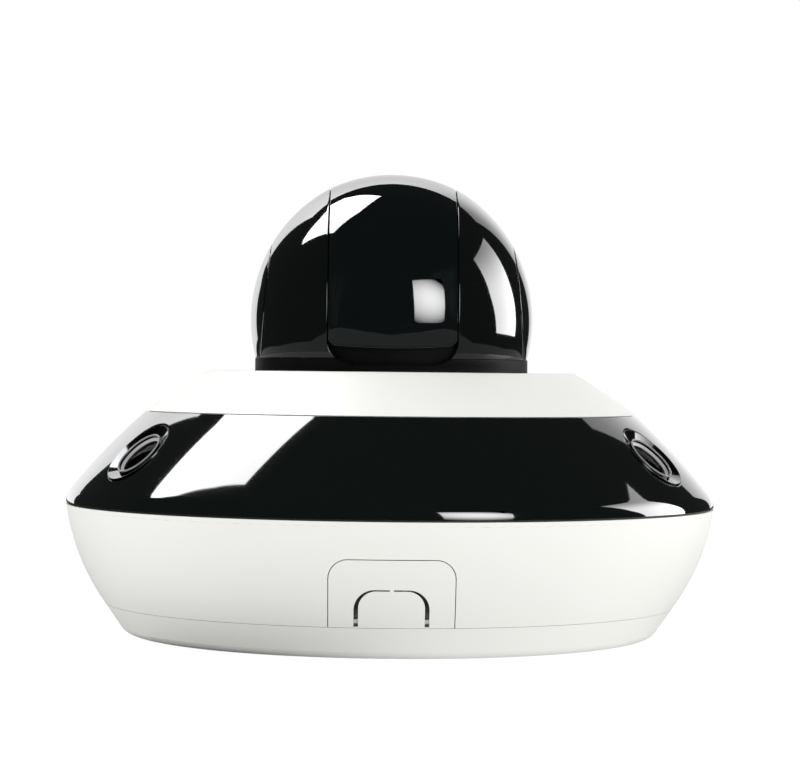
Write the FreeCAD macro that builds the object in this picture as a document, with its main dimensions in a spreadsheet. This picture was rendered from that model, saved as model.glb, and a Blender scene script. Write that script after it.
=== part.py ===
import FreeCAD, Part
import math
import os
import re
from collections import namedtuple

import Sketcher
from FreeCAD import Vector

# Dome camera with three fixed lenses in a band and one pan and tilt ball on top.
# Millimetres. The mounting face is at height 0 and +Z leads away from the ceiling.
# The front, with the cable cover, looks along -Y, and azimuths turn from it about +Z.

doc = FreeCAD.newDocument("dome_camera")
sheet = doc.addObject("Spreadsheet::Sheet", "sizes")
aliases = []
nodes = []


def cell(alias, text, meaning):
    """Write one row of the sheet: what the value is, the value, and its alias."""
    aliases.append(alias)
    row = len(aliases)
    sheet.set(f"A{row}", meaning)
    sheet.set(f"B{row}", text)
    sheet.setAlias(f"B{row}", alias)


def made(alias, formula, meaning):
    """A value that follows from the driving dimensions."""
    cell(alias, "=" + formula, meaning)


def arc_centre(name, start_r, start_z, end_r, end_z, radius):
    """Cells NAME_r and NAME_z: the centre of an arc that bulges to the right of its way."""
    length = f"((({end_r}) - ({start_r}))^2 + (({end_z}) - ({start_z}))^2)"
    made(name + "_k", f"sqrt(({radius})^2 / {length} - 0.25)", "centre distance over chord")
    middle_r = f"(({start_r}) + ({end_r})) / 2"
    middle_z = f"(({start_z}) + ({end_z})) / 2"
    made(name + "_r", f"{middle_r} - (({end_z}) - ({start_z})) * {name}_k", "centre radius")
    made(name + "_z", f"{middle_z} + (({end_r}) - ({start_r})) * {name}_k", "centre height")


def on_arc(name, radius, height):
    """The radius at which the arc about NAME's centre has this height."""
    return f"({name}_r + sqrt(({radius})^2 - (({height}) - {name}_z)^2))"


# Driving lengths
LENGTHS = {
    # Outer shells
    "wall": 2.5,  # wall of the moulded shells
    "fit_gap": 0.3,  # gap at a seam between two shells
    "ring_gap": 0.12,  # gap at the seam above the base ring
    "seat_gap": 0.2,  # gap at a seat that only touches
    "running_gap": 0.05,  # radial clearance of a shaft in its hole
    "past": 1,  # how far a cutting tool runs past the face that it cuts
    "face_r": 98.5,  # radius of the flat mounting face
    "ring_round": 6.3,  # round under the base ring
    "seam_r": 109.9,  # radius at the seam above the base ring
    "seam_z": 11.8,  # height of that seam
    "rim_r": 125,  # largest radius, at the top rim of the bowl
    "rim_z": 49.5,  # height of the bowl's rim
    "bowl_arc": 83.6,  # radius of the bowl's side in section
    "gasket_t": 0.75,  # gasket between bowl and band
    "gasket_inset": 0.8,  # from the rim in to the gasket
    "band_edge": 0.1,  # upright edge at the foot of the band
    "band_round": 8.4,  # round above that edge
    "band_inset": 1.87,  # from the rim in to the foot of the band's slope
    "band_foot_z": 55.56,  # height where the band's slope begins
    "band_top_r": 95,  # radius at the band's top edge
    "band_top_z": 85,  # height of the band's top edge
    "band_arc": 250,  # radius of the band's slope in section
    "band_flange": 6.5,  # width of the flange at the band's top
    "collar_arc": 246,  # radius of the collar's slope in section
    "shoulder_r": 72,  # radius where the collar's slope ends
    "shoulder_drop": 0.6,  # fall of the shoulder below the flat top
    "shoulder_w": 1.8,  # width of the shoulder's round
    "shoulder_round": 3.6,  # radius of the shoulder's round
    "collar_z": 101,  # height of the collar's flat top
    "collar_rebate": 1.5,  # width of the rebate that makes the collar's seam
    "collar_seat": 2,  # height of the collar's seat on the band
    # Mounting base
    "base_floor": 2.5,  # thickness of the base's floor
    "cable_hole_r": 30,  # radius of the cable hole in the base
    "mount_pcd": 150,  # bolt circle of the ceiling screws
    "mount_hole_r": 2.6,  # radius of a ceiling screw's hole
    "lip_inset": 3.5,  # from the seam's radius in to the locating lip
    "lip_w": 2,  # thickness of the locating lip
    "lip_rise": 3.2,  # rise of the lip above the seam
    "heel": 1.4,  # chamfer between the base's floor and its lip
    "lock_z": 8.6,  # height of the lock screws
    "lock_r": 1.5,  # radius of a lock screw's shank
    "lock_head_r": 2.2,  # radius of a lock screw's head
    "lock_head_t": 1.2,  # thickness of a lock screw's head
    "leg_t": 5.5,  # thickness of the housing legs that the lock screws enter
    "leg_w": 10,  # width of those legs
    "leg_z": 4.2,  # height of the lower end of those legs
    "leg_root": 1,  # overlap of a leg with the housing's floor
    # Housing
    "floor_z": 27,  # underside of the housing's floor
    "floor_t": 2.5,  # thickness of the housing's floor
    "post_floor": 1,  # floor left under a board post's hole
    "rim_step": 3.6,  # width of the rim that carries the gasket
    "rim_lip": 3,  # rise of the rim's inner lip
    "rim_lip_w": 2,  # thickness of that lip
    "rim_web": 5,  # depth of the web under the lip
    "cover_w": 44.6,  # width of the cable opening
    "cover_top": 36.5,  # height of the cable opening's top
    "cover_corner": 7,  # corner radius of the cable opening
    "pocket_r": 92,  # distance of the cable pocket's back wall from the axis
    "pocket_wall": 2,  # wall of the cable pocket
    "arch_w": 26.4,  # width of the arch of slots round the knock-out
    "arch_foot": 12.25,  # height of that arch's foot
    "arch_h": 13.45,  # height of the arch above its foot
    "arch_round": 7.3,  # corner radius of the arch
    "arch_side": 1.6,  # slot beside the knock-out
    "arch_top": 0.5,  # slot over the knock-out
    "bridge_w": 1.4,  # width of a bridge that holds the knock-out
    "bridge_z": 13.4,  # lower edge of the side bridges
    "bridge_back": 1.3,  # how far the side bridges lie behind the skin
    "post_r": 95,  # distance of the chassis posts from the axis
    "post_radius": 4,  # radius of a chassis post
    "screw_r": 1.5,  # radius of an inner screw's shank
    "screw_head_r": 2.8,  # radius of an inner screw's head
    "screw_head_t": 2,  # thickness of an inner screw's head
    "screw_depth": 7,  # depth of an inner screw in its post
    "standoff_radius": 3.5,  # radius of a collar standoff
    "standoff_r": 80,  # distance of the collar standoffs from the axis
    # Chassis and pan drive
    "chassis_z": 39,  # underside of the chassis
    "chassis_t": 2.5,  # thickness of the chassis
    "chassis_r": 110,  # radius of the chassis
    "bearing_bore": 15,  # bore radius of the pan bearing
    "bearing_r": 21,  # outer radius of the pan bearing
    "bearing_w": 7,  # width of the pan bearing
    "bearing_z": 43,  # lower face of the pan bearing
    "race_t": 1.9,  # thickness of a bearing ring
    "ball_r": 1.75,  # radius of a bearing ball
    "ball_gap": 0.05,  # clearance round a bearing ball
    "cage_t": 1.4,  # thickness of the ball cage
    "cage_w": 5,  # width of the ball cage
    "seat_wall": 4,  # wall of the bearing seat
    "seat_step": 2.5,  # width of the ledge under the bearing
    "seat_rise": 1,  # rise of the seat's wall above the bearing
    "chassis_cable_r": 7,  # radius of a cable hole in the chassis
    "chassis_cable_at": 68,  # distance of those holes from the axis
    "gear_module": 0.8,  # module of the pan gears
    "pan_gear_z": 57,  # underside of the pan gear
    "pan_gear_t": 4.5,  # thickness of the pan gear
    "pinion_lap": 0.3,  # how far a pinion stands past its gear
    "web_step": 5.6,  # from the yoke screws out to the pan gear's step
    "backlash": 0.14,  # play between gear teeth at the pitch circle
    "motor_r": 14,  # radius of the pan motor
    "motor_h": 14,  # height of the pan motor
    "motor_shaft_r": 1.5,  # radius of the pan motor's shaft
    "shaft_depth": 5,  # depth of a motor shaft in its motor
    "ear_w": 42,  # length across the pan motor's ears
    "ear_d": 7,  # width of an ear
    "ear_t": 1,  # thickness of an ear
    # Boards and sockets
    "board_z": 32,  # underside of the main board
    "board_t": 1.6,  # thickness of a circuit board
    "board_r": 78,  # radius of the main board
    "board_post_r": 68,  # distance of the main board's posts from the axis
    "jack_x": -52,  # centre of the network jack
    "jack_w": 13.6,  # network jack across
    "jack_d": 16,  # network jack along
    "jack_z": 14.5,  # mouth of the network jack
    "socket_w": 8.2,  # network socket across
    "socket_d": 11.8,  # network socket along
    "socket_deep": 13,  # depth of the network socket
    "grommet_t": 3,  # wall of the jack's rubber grommet
    "grommet_lip": 1,  # how far the grommet stands past the floor
    "terminal_x": -48,  # centre of the terminal block, left to right
    "terminal_y": 30,  # centre of the terminal block, front to back
    "terminal_w": 11,  # terminal block across
    "terminal_d": 8,  # terminal block along
    "terminal_z": 20,  # lower end of the terminal block
    "wire_r": 1.3,  # radius of a terminal's wire hole
    "card_x": 52,  # centre of the card slot
    "card_w": 11,  # width of the memory card
    "card_t": 1,  # thickness of the memory card
    "card_l": 15,  # length of the memory card
    "card_out": 2,  # how far the card stands out of its slot
    "slot_z": 19,  # mouth of the card slot
    "slot_wall": 1.5,  # wall of the card slot
    "card_gap": 0.15,  # clearance of the card in its slot
    "reset_y": 24,  # place of the reset switch, front to back
    "switch_w": 6,  # width of the reset switch
    "switch_h": 2.2,  # height of the reset switch
    "button_r": 1.4,  # radius of the reset button
    "button_z": 22.5,  # lower end of the reset button
    "button_seat": 0.3,  # depth of the button in its switch
    "button_stop": 0.3,  # depth left over the pressed button
    "button_travel": 0.6,  # travel of the reset button
    "window_gap": 1,  # clearance round a piece in a floor window
    "latch_w": 2,  # depth of the latch groove beside the network socket
    "wire_deep": 6,  # depth of a terminal's wire hole
    "pad_inset": 1,  # from the processor's edge in to its pad
    "chip_w": 27,  # width of the processor
    "chip_t": 2,  # thickness of the processor
    "chip_x": 24,  # place of the processor, both ways
    # Fixed lens modules
    "lens_z": 70.8,  # height where a lens axis meets the band
    "bezel_r": 14.85,  # outer radius of a lens bezel
    "bezel_gap": 0.15,  # gap round a lens bezel
    "bezel_drop": 0.7,  # bezel edge below the lens point
    "bezel_crown": 0.3,  # rise of the bezel's rim
    "bezel_rim_w": 0.9,  # width of the bezel's rim
    "bezel_cone_r": 10.4,  # inner radius of the bezel's cone
    "bezel_cone_deep": 1.9,  # depth of the bezel's cone
    "retainer_r": 9.3,  # inner radius of the raised ring over the glass
    "retainer_z": 0.9,  # depth of the crown of that ring
    "retainer_t": 2.1,  # thickness of that ring
    "bezel_deep": 7,  # depth of the bezel's tube
    "bezel_tube": 1.6,  # wall of the bezel's tube
    "retainer_draft": 0.25,  # draft between the cone and the ring over the glass
    "glass_t": 1.5,  # edge thickness of a lens window
    "glass_dome": 2.6,  # rise of a lens window's dome
    "barrel_r": 8,  # radius of a lens barrel's head
    "barrel_head": 6,  # length of the barrel's head
    "barrel_front": 5.3,  # depth of the barrel's front
    "barrel_lip": 0.8,  # width of the barrel's front edge
    "hood_r": 4.2,  # radius of the front element in the barrel
    "hood_deep": 2.2,  # depth of that element in its hood
    "element_dome": 1,  # rise of the front element
    "thread_r": 6,  # radius of the barrel's thread
    "barrel_l": 20,  # depth of the barrel's rear end
    "holder_z": 18,  # depth of the bracket's plate
    "holder_t": 2,  # thickness of the bracket's plate
    "holder_w": 26,  # height of the bracket's plate
    "holder_l": 34,  # width of the bracket's plate
    "sleeve_w": 17,  # width of the bracket's sensor sleeve
    "sleeve_deep": 3,  # depth of that sleeve
    "sleeve_wall": 2,  # wall of that sleeve
    "eye_board_w": 24,  # width of a sensor board
    "eye_board_t": 1.2,  # thickness of a sensor board
    "foot_w": 3.4,  # width of a bracket's leg
    "foot_d": 6,  # depth of a bracket's leg
    "foot_r": 100,  # distance of a bracket's legs from the axis
    "foot_top": 55,  # height where the legs enter the plate
    # Turret
    "tilt_z": 121.1,  # height of the tilt axis
    "drum_r": 56.5,  # radius of the drum's window
    "drum_half": 24,  # half width of the drum
    "drum_wall": 2.2,  # wall of the drum's window and cover
    "slot_gap": 0.5,  # gap between drum and cheeks
    "cheek_r": 58.03,  # radius of a cheek's sphere
    "cheek_shift": 3.33,  # its centre's shift to the other side
    "skirt_r": 52.9,  # outer radius of the turret's skirt
    "skirt_t": 2.5,  # thickness of the skirt
    "skirt_top": 106,  # height of the skirt's top edge
    "skirt_foot": 89,  # height of the skirt's lower edge
    "opening_gap": 0.6,  # gap between skirt and collar
    "shell_gap": 0.4,  # gap between cheeks and collar
    "sweep_gap": 0.5,  # gap between the rear cover and the turret shell
    "lip_top": 103,  # height of the skirt's lip before the drum
    "lip_corner": 10,  # corner radius of the drum's slot
    "cap_x": 49.1,  # distance of a side cap's seam at the tilt axis
    "cap_gap": 0.35,  # gap at a side cap's seam
    "flange_t": 2,  # thickness of the turret's inner flange
    "flange_in": 29.5,  # distance of the flange's inner edge from the centre plane
    "flange_notch": 13,  # half width of the flange's notch for the tilt motor
    "seal_t": 2.3,  # thickness of the turret's seal
    "seal_w": 4.8,  # width of the turret's seal
    "seal_gap": 0.3,  # gap between seal and skirt
    "cover_gap": 0.3,  # gap between rear cover and window
    "hub_bore": 9,  # bore radius of the yoke's hub
    "hub_foot": 40.3,  # lower end of the yoke's hub
    "yoke_r": 46,  # radius of the yoke's plate
    "yoke_z": 62,  # underside of the yoke's plate
    "yoke_t": 3,  # thickness of the yoke's plate
    "arm_x": 26,  # inner face of the yoke's arms
    "arm_t": 2.6,  # thickness of a yoke arm
    "arm_w": 32,  # width of a yoke arm
    "shelf_x": 43,  # reach of the yoke's shelves
    "shelf_w": 48,  # width of the yoke's shelves
    "shelf_t": 2.4,  # thickness of the yoke's shelves
    "ring_z": 41.7,  # lower face of the retaining ring
    "ring_t": 1.1,  # thickness of the retaining ring
    "ring_r": 17.5,  # outer radius of the retaining ring
    "ring_groove": 0.8,  # depth of the retaining ring's groove
    "yoke_screw_r": 30,  # distance of the yoke screws from the axis
    "trunnion_r": 4,  # radius of the tilt trunnions
    "bush_r": 6,  # outer radius of a tilt bush
    "bush_flange_r": 7.5,  # flange radius of a tilt bush
    "bush_flange_t": 0.8,  # flange thickness of a tilt bush
    "tilt_module": 0.6,  # module of the tilt gears
    "tilt_gear_x": 30,  # inner face of the tilt gear
    "tilt_gear_t": 3.5,  # thickness of the tilt gear
    "tilt_motor_r": 9.5,  # radius of the tilt motor
    "tilt_motor_l": 12,  # length of the tilt motor
    "tilt_plate_t": 1.2,  # thickness of the tilt motor's plate
    "tilt_plate_w": 24,  # width of that plate
    "tilt_shaft_r": 1,  # radius of the tilt motor's shaft
    "side_gap": 0.5,  # gap beside the tilt gear
    "trunnion_end": 1,  # how far the right trunnion stands past its bush
    # Drum and zoom camera
    "disc_t": 2.2,  # thickness of the tilt frame's side discs
    "disc_gap": 0.3,  # gap between side disc and rear cover
    "bridge_t": 2,  # thickness of the tilt frame's bridge
    "bridge_h": 30,  # height of the tilt frame's bridge
    "bridge_y": 11.6,  # front face of the tilt frame's bridge
    "zoom_r": 17,  # outer radius of the zoom barrel
    "zoom_wall": 2.5,  # wall of the zoom barrel
    "zoom_front": 36,  # distance of the zoom barrel's front from the tilt axis
    "zoom_back": 6,  # distance of the zoom barrel's flange behind the tilt axis
    "zoom_flange": 38,  # width of the zoom barrel's flange
    "zoom_flange_t": 4,  # thickness of the zoom barrel's flange
    "flange_web": 0.5,  # thickness of the flange over the barrel's bore
    "front_lens_t": 6,  # thickness of the zoom camera's front lens
    "front_lens_out": 1,  # how far the front lens stands out of the barrel
    "front_lens_arc": 30,  # radius of its front face
    "group_gap": 0.3,  # gap round a moving lens group
    "group_wall": 3,  # width of a lens group's ring
    "group_lens_t": 2.4,  # thickness of a lens in its group
    "sensor_window": 16,  # width of the opening before the zoom camera's sensor
    "zoom_group_y": -22,  # front of the zoom group
    "zoom_group_t": 5,  # length of the zoom group
    "focus_group_y": -6,  # front of the focus group
    "focus_group_t": 4,  # length of the focus group
    "filter_y": 3.2,  # front of the infrared filter
    "filter_t": 1,  # thickness of the infrared filter
    "filter_l": 16,  # length of the infrared filter
    "filter_h": 9,  # height of the infrared filter
    "filter_x": -5,  # centre of the infrared filter
}

# Driving angles, in degrees
ANGLES = {
    "lock_turn": 110,  # azimuth of the first lock screw
    "lock_step": 70,  # from one lock screw to the next
    "ring_slope": 54,  # slope of the base ring's side
    "mount_turn": 45,  # azimuth of the first ceiling screw
    "pressure": 25,  # pressure angle of the gears
    "lens_turn": 61.7,  # azimuth of the first fixed lens
    "lens_up": 46,  # angle of a lens axis above the horizon
    "cap_lean": 5.06,  # lean of that seam
    "window_low": -11.7,  # lower edge of the window from the front
    "window_high": 107,  # upper edge of the window from the front
    "under_lap": 3,  # how far the rear cover runs under the window
}

COUNTS = {
    "mount_count": 4,  # number of ceiling screw holes
    "lock_count": 3,  # number of lock screws
    "post_count": 6,  # number of chassis posts
    "ball_count": 18,  # number of bearing balls
    "pan_teeth": 120,  # teeth of the pan gear
    "pan_pinion_teeth": 15,  # teeth of the pan pinion
    "board_post_count": 4,  # number of the main board's posts
    "lens_count": 3,  # number of fixed lenses
    "yoke_screw_count": 4,  # number of yoke screws
    "tilt_teeth": 60,  # teeth of the tilt gear
    "tilt_pinion_teeth": 12,  # teeth of the tilt pinion
}

# Shares of a gear's module
SHARES = {
    "tooth_top": 0.9,  # height of a tooth above the pitch circle
    "tooth_root": 1.2,  # depth of a tooth below the pitch circle
}

for table, meaning in ((LENGTHS, "length"), (ANGLES, "angle"), (COUNTS, "count"), (SHARES, "share")):
    for alias, value in table.items():
        cell(alias, str(value), meaning)

# What follows from them
made("ring_foot_r", "face_r + ring_round * sin(ring_slope)", "radius where the ring's round ends")
made("ring_foot_z", "ring_round * (1 - cos(ring_slope))", "height where the ring's round ends")
made("band_z", "rim_z + gasket_t", "height of the band's foot")
made("collar_foot_z", "band_top_z + fit_gap", "height of the collar's outer edge")
made("shoulder_z", "collar_z - shoulder_drop", "height where the collar's slope ends")
arc_centre("bowl", "seam_r", "seam_z", "rim_r", "rim_z", "bowl_arc")
made("band_foot_r", "rim_r - band_inset", "radius where the band's slope begins")
arc_centre("slope", "band_foot_r", "band_foot_z", "band_top_r", "band_top_z", "band_arc")
arc_centre("cone", "band_top_r", "collar_foot_z", "shoulder_r", "shoulder_z", "collar_arc")
made("chassis_top", "chassis_z + chassis_t", "top of the chassis")
made("ball_ring", "(bearing_bore + bearing_r) / 2", "radius of the ring of balls")
made("ball_z", "bearing_z + bearing_w / 2", "height of the ring of balls")
made("pan_centres", "(pan_teeth + pan_pinion_teeth) * gear_module / 2", "centre distance of the pan gears")
made("lens_r", on_arc("slope", "band_arc", "lens_z"), "radius where a lens axis meets the band")
made("tilt_centres", "(tilt_teeth + tilt_pinion_teeth) * tilt_module / 2",
     "centre distance of the tilt gears")
made("cover_r", "drum_r - drum_wall - cover_gap", "radius of the drum's rear cover")
made("opening_r", "skirt_r + opening_gap", "radius of the collar's opening")
made("shell_foot", "collar_z + shell_gap", "height where the cheeks begin")

sheet.recompute()
doc.recompute()
sized = set(aliases)


def link(text):
    """Point every alias in an expression at the sheet."""
    return re.sub(r"[a-z_][a-z_0-9]*", lambda word: ("sizes." if word[0] in sized else "") + word[0],
                  str(text))


def number(text):
    """What an expression on the sheet comes to now."""
    return float(sheet.evalExpression(str(text)))


def bind(thing, **expressions):
    """Bind properties of an object to expressions on the sheet."""
    for name, text in expressions.items():
        thing.setExpression(name, link(text))
    return thing


# Placements are expressions too
TURNS = {
    "Z": "vector(0; 0; 1); 0",
    "X": "vector(0; 1; 0); 90",
    "-X": "vector(0; 1; 0); -90",
    "Y": "vector(1; 0; 0); -90",
    "-Y": "vector(1; 0; 0); 90",
}


def at(x=0, y=0, z=0, axis="Z"):
    """Origin at (x, y, z) and local +Z along the named axis."""
    return f"placement(vector({x}; {y}; {z}); rotation({TURNS[axis]}))"


def turn(angle, axis="0; 0; 1"):
    """A turn about an axis through the origin."""
    return f"placement(vector(0; 0; 0); rotation(vector({axis}); {angle}))"


def around(azimuth, inner):
    """A placement carried round the camera's axis to an azimuth."""
    return turn(azimuth) + " * " + inner


def spread(count):
    """Evenly spaced azimuths, the first one half a step from the front."""
    return [f"360 / {count} * ({index} + 0.5)" for index in range(round(number(count)))]


def put(thing, where):
    return bind(thing, Placement=where)


# Drum frame: local X to the front, local Y up, local Z to the left
DRUM_FRAME = at(z="tilt_z") + " * " + turn(-90) + " * " + turn(90, "1; 0; 0")


# Solids and booleans
def cylinder(name, radius, height, where=at(), angle=360):
    thing = bind(doc.addObject("Part::Cylinder", name), Radius=radius, Height=height, Angle=angle)
    return put(thing, where)


def tube(name, outer, inner, height, where=at()):
    """A ring: one cylinder less a longer one on the same axis."""
    hole = cylinder(name + "_bore", inner, f"({height}) + 2 * past", where + " * " + at(z="-past"))
    return cut(name, cylinder(name + "_blank", outer, height, where), hole)


def block(name, dx, dy, dz, x=0, y=0, z=0, where=None):
    """A box centred on x and y that stands on z, in the frame of where."""
    thing = bind(doc.addObject("Part::Box", name), Length=dx, Width=dy, Height=dz)
    corner = at(f"({x}) - ({dx}) / 2", f"({y}) - ({dy}) / 2", z)
    return put(thing, corner if where is None else where + " * " + corner)


def sphere(name, radius, x=0, y=0, z=0):
    return put(bind(doc.addObject("Part::Sphere", name), Radius=radius), at(x, y, z))


def fuse(name, *things):
    if len(things) == 1:
        return things[0]
    thing = doc.addObject("Part::MultiFuse", name)
    thing.Shapes = list(things)
    return thing


def cut(name, base, *tools):
    thing = doc.addObject("Part::Cut", name)
    thing.Base = base
    thing.Tool = fuse(name + "_tools", *tools)
    return thing


def common(name, *things):
    thing = doc.addObject("Part::MultiCommon", name)
    thing.Shapes = list(things)
    return thing


def group(name, things):
    thing = doc.addObject("Part::Compound", name)
    thing.Links = list(things)
    return thing


def piece(label, thing):
    """Name a finished sub-part."""
    thing.Label = label
    nodes.append(thing)
    return thing


# Sketched outlines: a corner may start an arc, which bulges right (1) or left (-1) of the way
Corner = namedtuple("Corner", "x y arc side", defaults=(None, 1))


def edge_between(start, end, arc, side):
    """A line, or the arc of the given radius."""
    if arc is None:
        return Part.LineSegment(start, end)
    chord = end - start
    sagitta = arc - math.sqrt(arc ** 2 - chord.Length ** 2 / 4)
    right = Vector(chord.y, -chord.x, 0) / chord.Length
    return Part.Arc(start, (start + end) / 2 + right * sagitta * side, end)


def outline(body, role, corners):
    """A closed sketch on a plane of the body, with every corner and arc bound to the sheet."""
    sketch = body.newObject("Sketcher::SketchObject", body.Name + "_outline")
    plane = [feature for feature in body.Origin.OriginFeatures if feature.Role == role][0]
    sketch.AttachmentSupport = (plane, [""])
    sketch.MapMode = "FlatFace"
    places = [Vector(number(corner.x), number(corner.y), 0) for corner in corners]
    ends = []
    for index, corner in enumerate(corners):
        start = places[index]
        end = places[(index + 1) % len(corners)]
        arc = None if corner.arc is None else number(corner.arc)
        edge = sketch.addGeometry(edge_between(start, end, arc, corner.side))
        to_first = (sketch.getPoint(edge, 1) - start).Length
        to_second = (sketch.getPoint(edge, 2) - start).Length
        ends.append((edge, 1, 2) if to_first < to_second else (edge, 2, 1))
    for index, corner in enumerate(corners):
        edge, start_end, far_end = ends[index]
        next_edge, next_start, _ = ends[(index + 1) % len(corners)]
        sketch.addConstraint(Sketcher.Constraint("Coincident", edge, far_end, next_edge, next_start))
        measures = [("DistanceX", corner.x), ("DistanceY", corner.y)]
        for kind, text in measures:
            held = sketch.addConstraint(Sketcher.Constraint(kind, -1, 1, edge, start_end, number(text)))
            sketch.setExpression(f"Constraints[{held}]", link(text))
        if corner.arc is not None:
            held = sketch.addConstraint(Sketcher.Constraint("Radius", edge, number(corner.arc)))
            sketch.setExpression(f"Constraints[{held}]", link(corner.arc))
    return sketch


def turned(name, corners, where=None):
    """A body of revolution about its own Z axis, from an outline of radius and height."""
    body = doc.addObject("PartDesign::Body", name)
    sketch = outline(body, "XZ_Plane", corners)
    axis = [feature for feature in body.Origin.OriginFeatures if feature.Role == "Z_Axis"][0]
    feature = body.newObject("PartDesign::Revolution", name + "_turn")
    feature.Profile = sketch
    feature.ReferenceAxis = (axis, [""])
    feature.Angle = 360
    return body if where is None else put(body, where)


def padded(name, corners, length, where=None):
    """A prism on both sides of the XZ plane, from an outline of x and height."""
    body = doc.addObject("PartDesign::Body", name)
    sketch = outline(body, "XZ_Plane", corners)
    feature = body.newObject("PartDesign::Pad", name + "_pad")
    feature.Profile = sketch
    feature.Midplane = True
    bind(feature, Length=length)
    return body if where is None else put(body, where)


# Gears: involute flanks drawn as arcs through three points
def involute(angle):
    return math.tan(angle) - angle


def gear_shape(teeth, module, width, bore, first_tooth):
    """A spur gear about +Z with one tooth centred on the angle first_tooth, in degrees."""
    pitch_r = teeth * module / 2
    pressure = math.radians(number("pressure"))
    base_r = pitch_r * math.cos(pressure)
    tip_r = pitch_r + number("tooth_top") * module
    root_r = pitch_r - number("tooth_root") * module
    half_tooth = math.pi / (2 * teeth) - number("backlash") / (4 * pitch_r)

    def flank(radius, centre, side):
        rolled = involute(math.acos(min(1.0, base_r / radius)))
        angle = centre + side * (half_tooth + involute(pressure) - rolled)
        return Vector(radius * math.cos(angle), radius * math.sin(angle), 0)

    def ray(radius, angle):
        return Vector(radius * math.cos(angle), radius * math.sin(angle), 0)

    low_r = max(root_r, base_r)
    mid_r = (low_r + tip_r) / 2
    step = 2 * math.pi / teeth
    edges = []
    for index in range(teeth):
        centre = math.radians(first_tooth) + index * step
        up = [flank(radius, centre, -1) for radius in (low_r, mid_r, tip_r)]
        down = [flank(radius, centre, 1) for radius in (tip_r, mid_r, low_r)]
        next_up = flank(low_r, centre + step, -1)
        foot = down[2]
        next_foot = next_up
        edges.append(Part.Arc(*up).toShape())
        edges.append(Part.Arc(up[2], ray(tip_r, centre), down[0]).toShape())
        edges.append(Part.Arc(*down).toShape())
        if root_r < low_r:
            foot = down[2] * (root_r / low_r)
            next_foot = next_up * (root_r / low_r)
            edges.append(Part.LineSegment(down[2], foot).toShape())
        edges.append(Part.Arc(foot, ray(root_r, centre + step / 2), next_foot).toShape())
        if root_r < low_r:
            edges.append(Part.LineSegment(next_foot, next_up).toShape())
    disc = Part.Face(Part.Wire(Part.__sortEdges__(edges))).extrude(Vector(0, 0, width))
    if bore:
        past = number("past")
        disc = disc.cut(Part.makeCylinder(bore, width + 2 * past, Vector(0, 0, -past)))
    return disc


def gear(name, teeth, module, width, bore, first_tooth, where):
    """A toothed blank whose place is bound to the sheet."""
    thing = doc.addObject("Part::Feature", name)
    hole = number(bore)
    thing.Shape = gear_shape(round(number(teeth)), number(module), number(width), hole, number(first_tooth))
    return put(thing, where)


# Mounting base: the ring below the fine seam, with a floor, a lip and four ceiling screw holes
def ring_side(height):
    """Radius of the base ring's straight side at a height."""
    return f"(ring_foot_r + (({height}) - ring_foot_z) * (seam_r - ring_foot_r) / (seam_z - ring_foot_z))"


LIP_OUT = "(seam_r - lip_inset)"
LIP_IN = "(seam_r - lip_inset - lip_w)"
RING_TOP = "(seam_z - ring_gap)"
REACH = "2 * rim_r"
mount_turns = [f"mount_turn + 360 / mount_count * {index}" for index in range(round(number("mount_count")))]
lock_turns = [f"lock_turn + lock_step * {index}" for index in range(round(number("lock_count")))]


def lock_axis(azimuth, radius):
    """A frame on a lock screw's axis, local +Z outwards."""
    return around(azimuth, at(y=f"-({radius})", z="lock_z", axis="-Y"))


base_turned = turned("base_turned", [
    Corner("cable_hole_r", "0"),
    Corner("face_r", "0", "ring_round"),
    Corner("ring_foot_r", "ring_foot_z"),
    Corner(ring_side(RING_TOP), RING_TOP),
    Corner(LIP_OUT, RING_TOP),
    Corner(LIP_OUT, "seam_z + lip_rise"),
    Corner(LIP_IN, "seam_z + lip_rise"),
    Corner(LIP_IN, "base_floor + heel"),
    Corner(f"{LIP_IN} - heel", "base_floor"),
    Corner("cable_hole_r", "base_floor"),
])
base_holes = [
    cylinder(f"mount_hole_{index}", "mount_hole_r", "base_floor + 2 * past",
             around(azimuth, at(y="-mount_pcd / 2", z="-past")))
    for index, azimuth in enumerate(mount_turns)
]
HEAD_SEAT = f"({ring_side('lock_z - lock_head_r')} - lock_head_t)"
for index, azimuth in enumerate(lock_turns):
    shank_hole = cylinder(f"lock_hole_{index}", "lock_r + running_gap", f"seam_r - {LIP_IN} + past",
                          lock_axis(azimuth, f"{LIP_IN} - past"))
    head_hole = cylinder(f"lock_sink_{index}", "lock_head_r + seat_gap", "lip_inset + lip_w",
                         lock_axis(azimuth, HEAD_SEAT))
    base_holes += [shank_hole, head_hole]
piece("mounting_base", cut("mounting_base", base_turned, *base_holes))

LEG_OUT = f"({LIP_IN} - fit_gap)"
screws = []
for index, azimuth in enumerate(lock_turns):
    start = f"({LEG_OUT} - leg_t + seat_gap)"
    shank = cylinder(f"lock_shank_{index}", "lock_r", f"{HEAD_SEAT} - {start}", lock_axis(azimuth, start))
    head = cylinder(f"lock_head_{index}", "lock_head_r", "lock_head_t", lock_axis(azimuth, HEAD_SEAT))
    screws.append(fuse(f"lock_screw_{index}", shank, head))
piece("lock_screws", group("lock_screws", screws))

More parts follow.
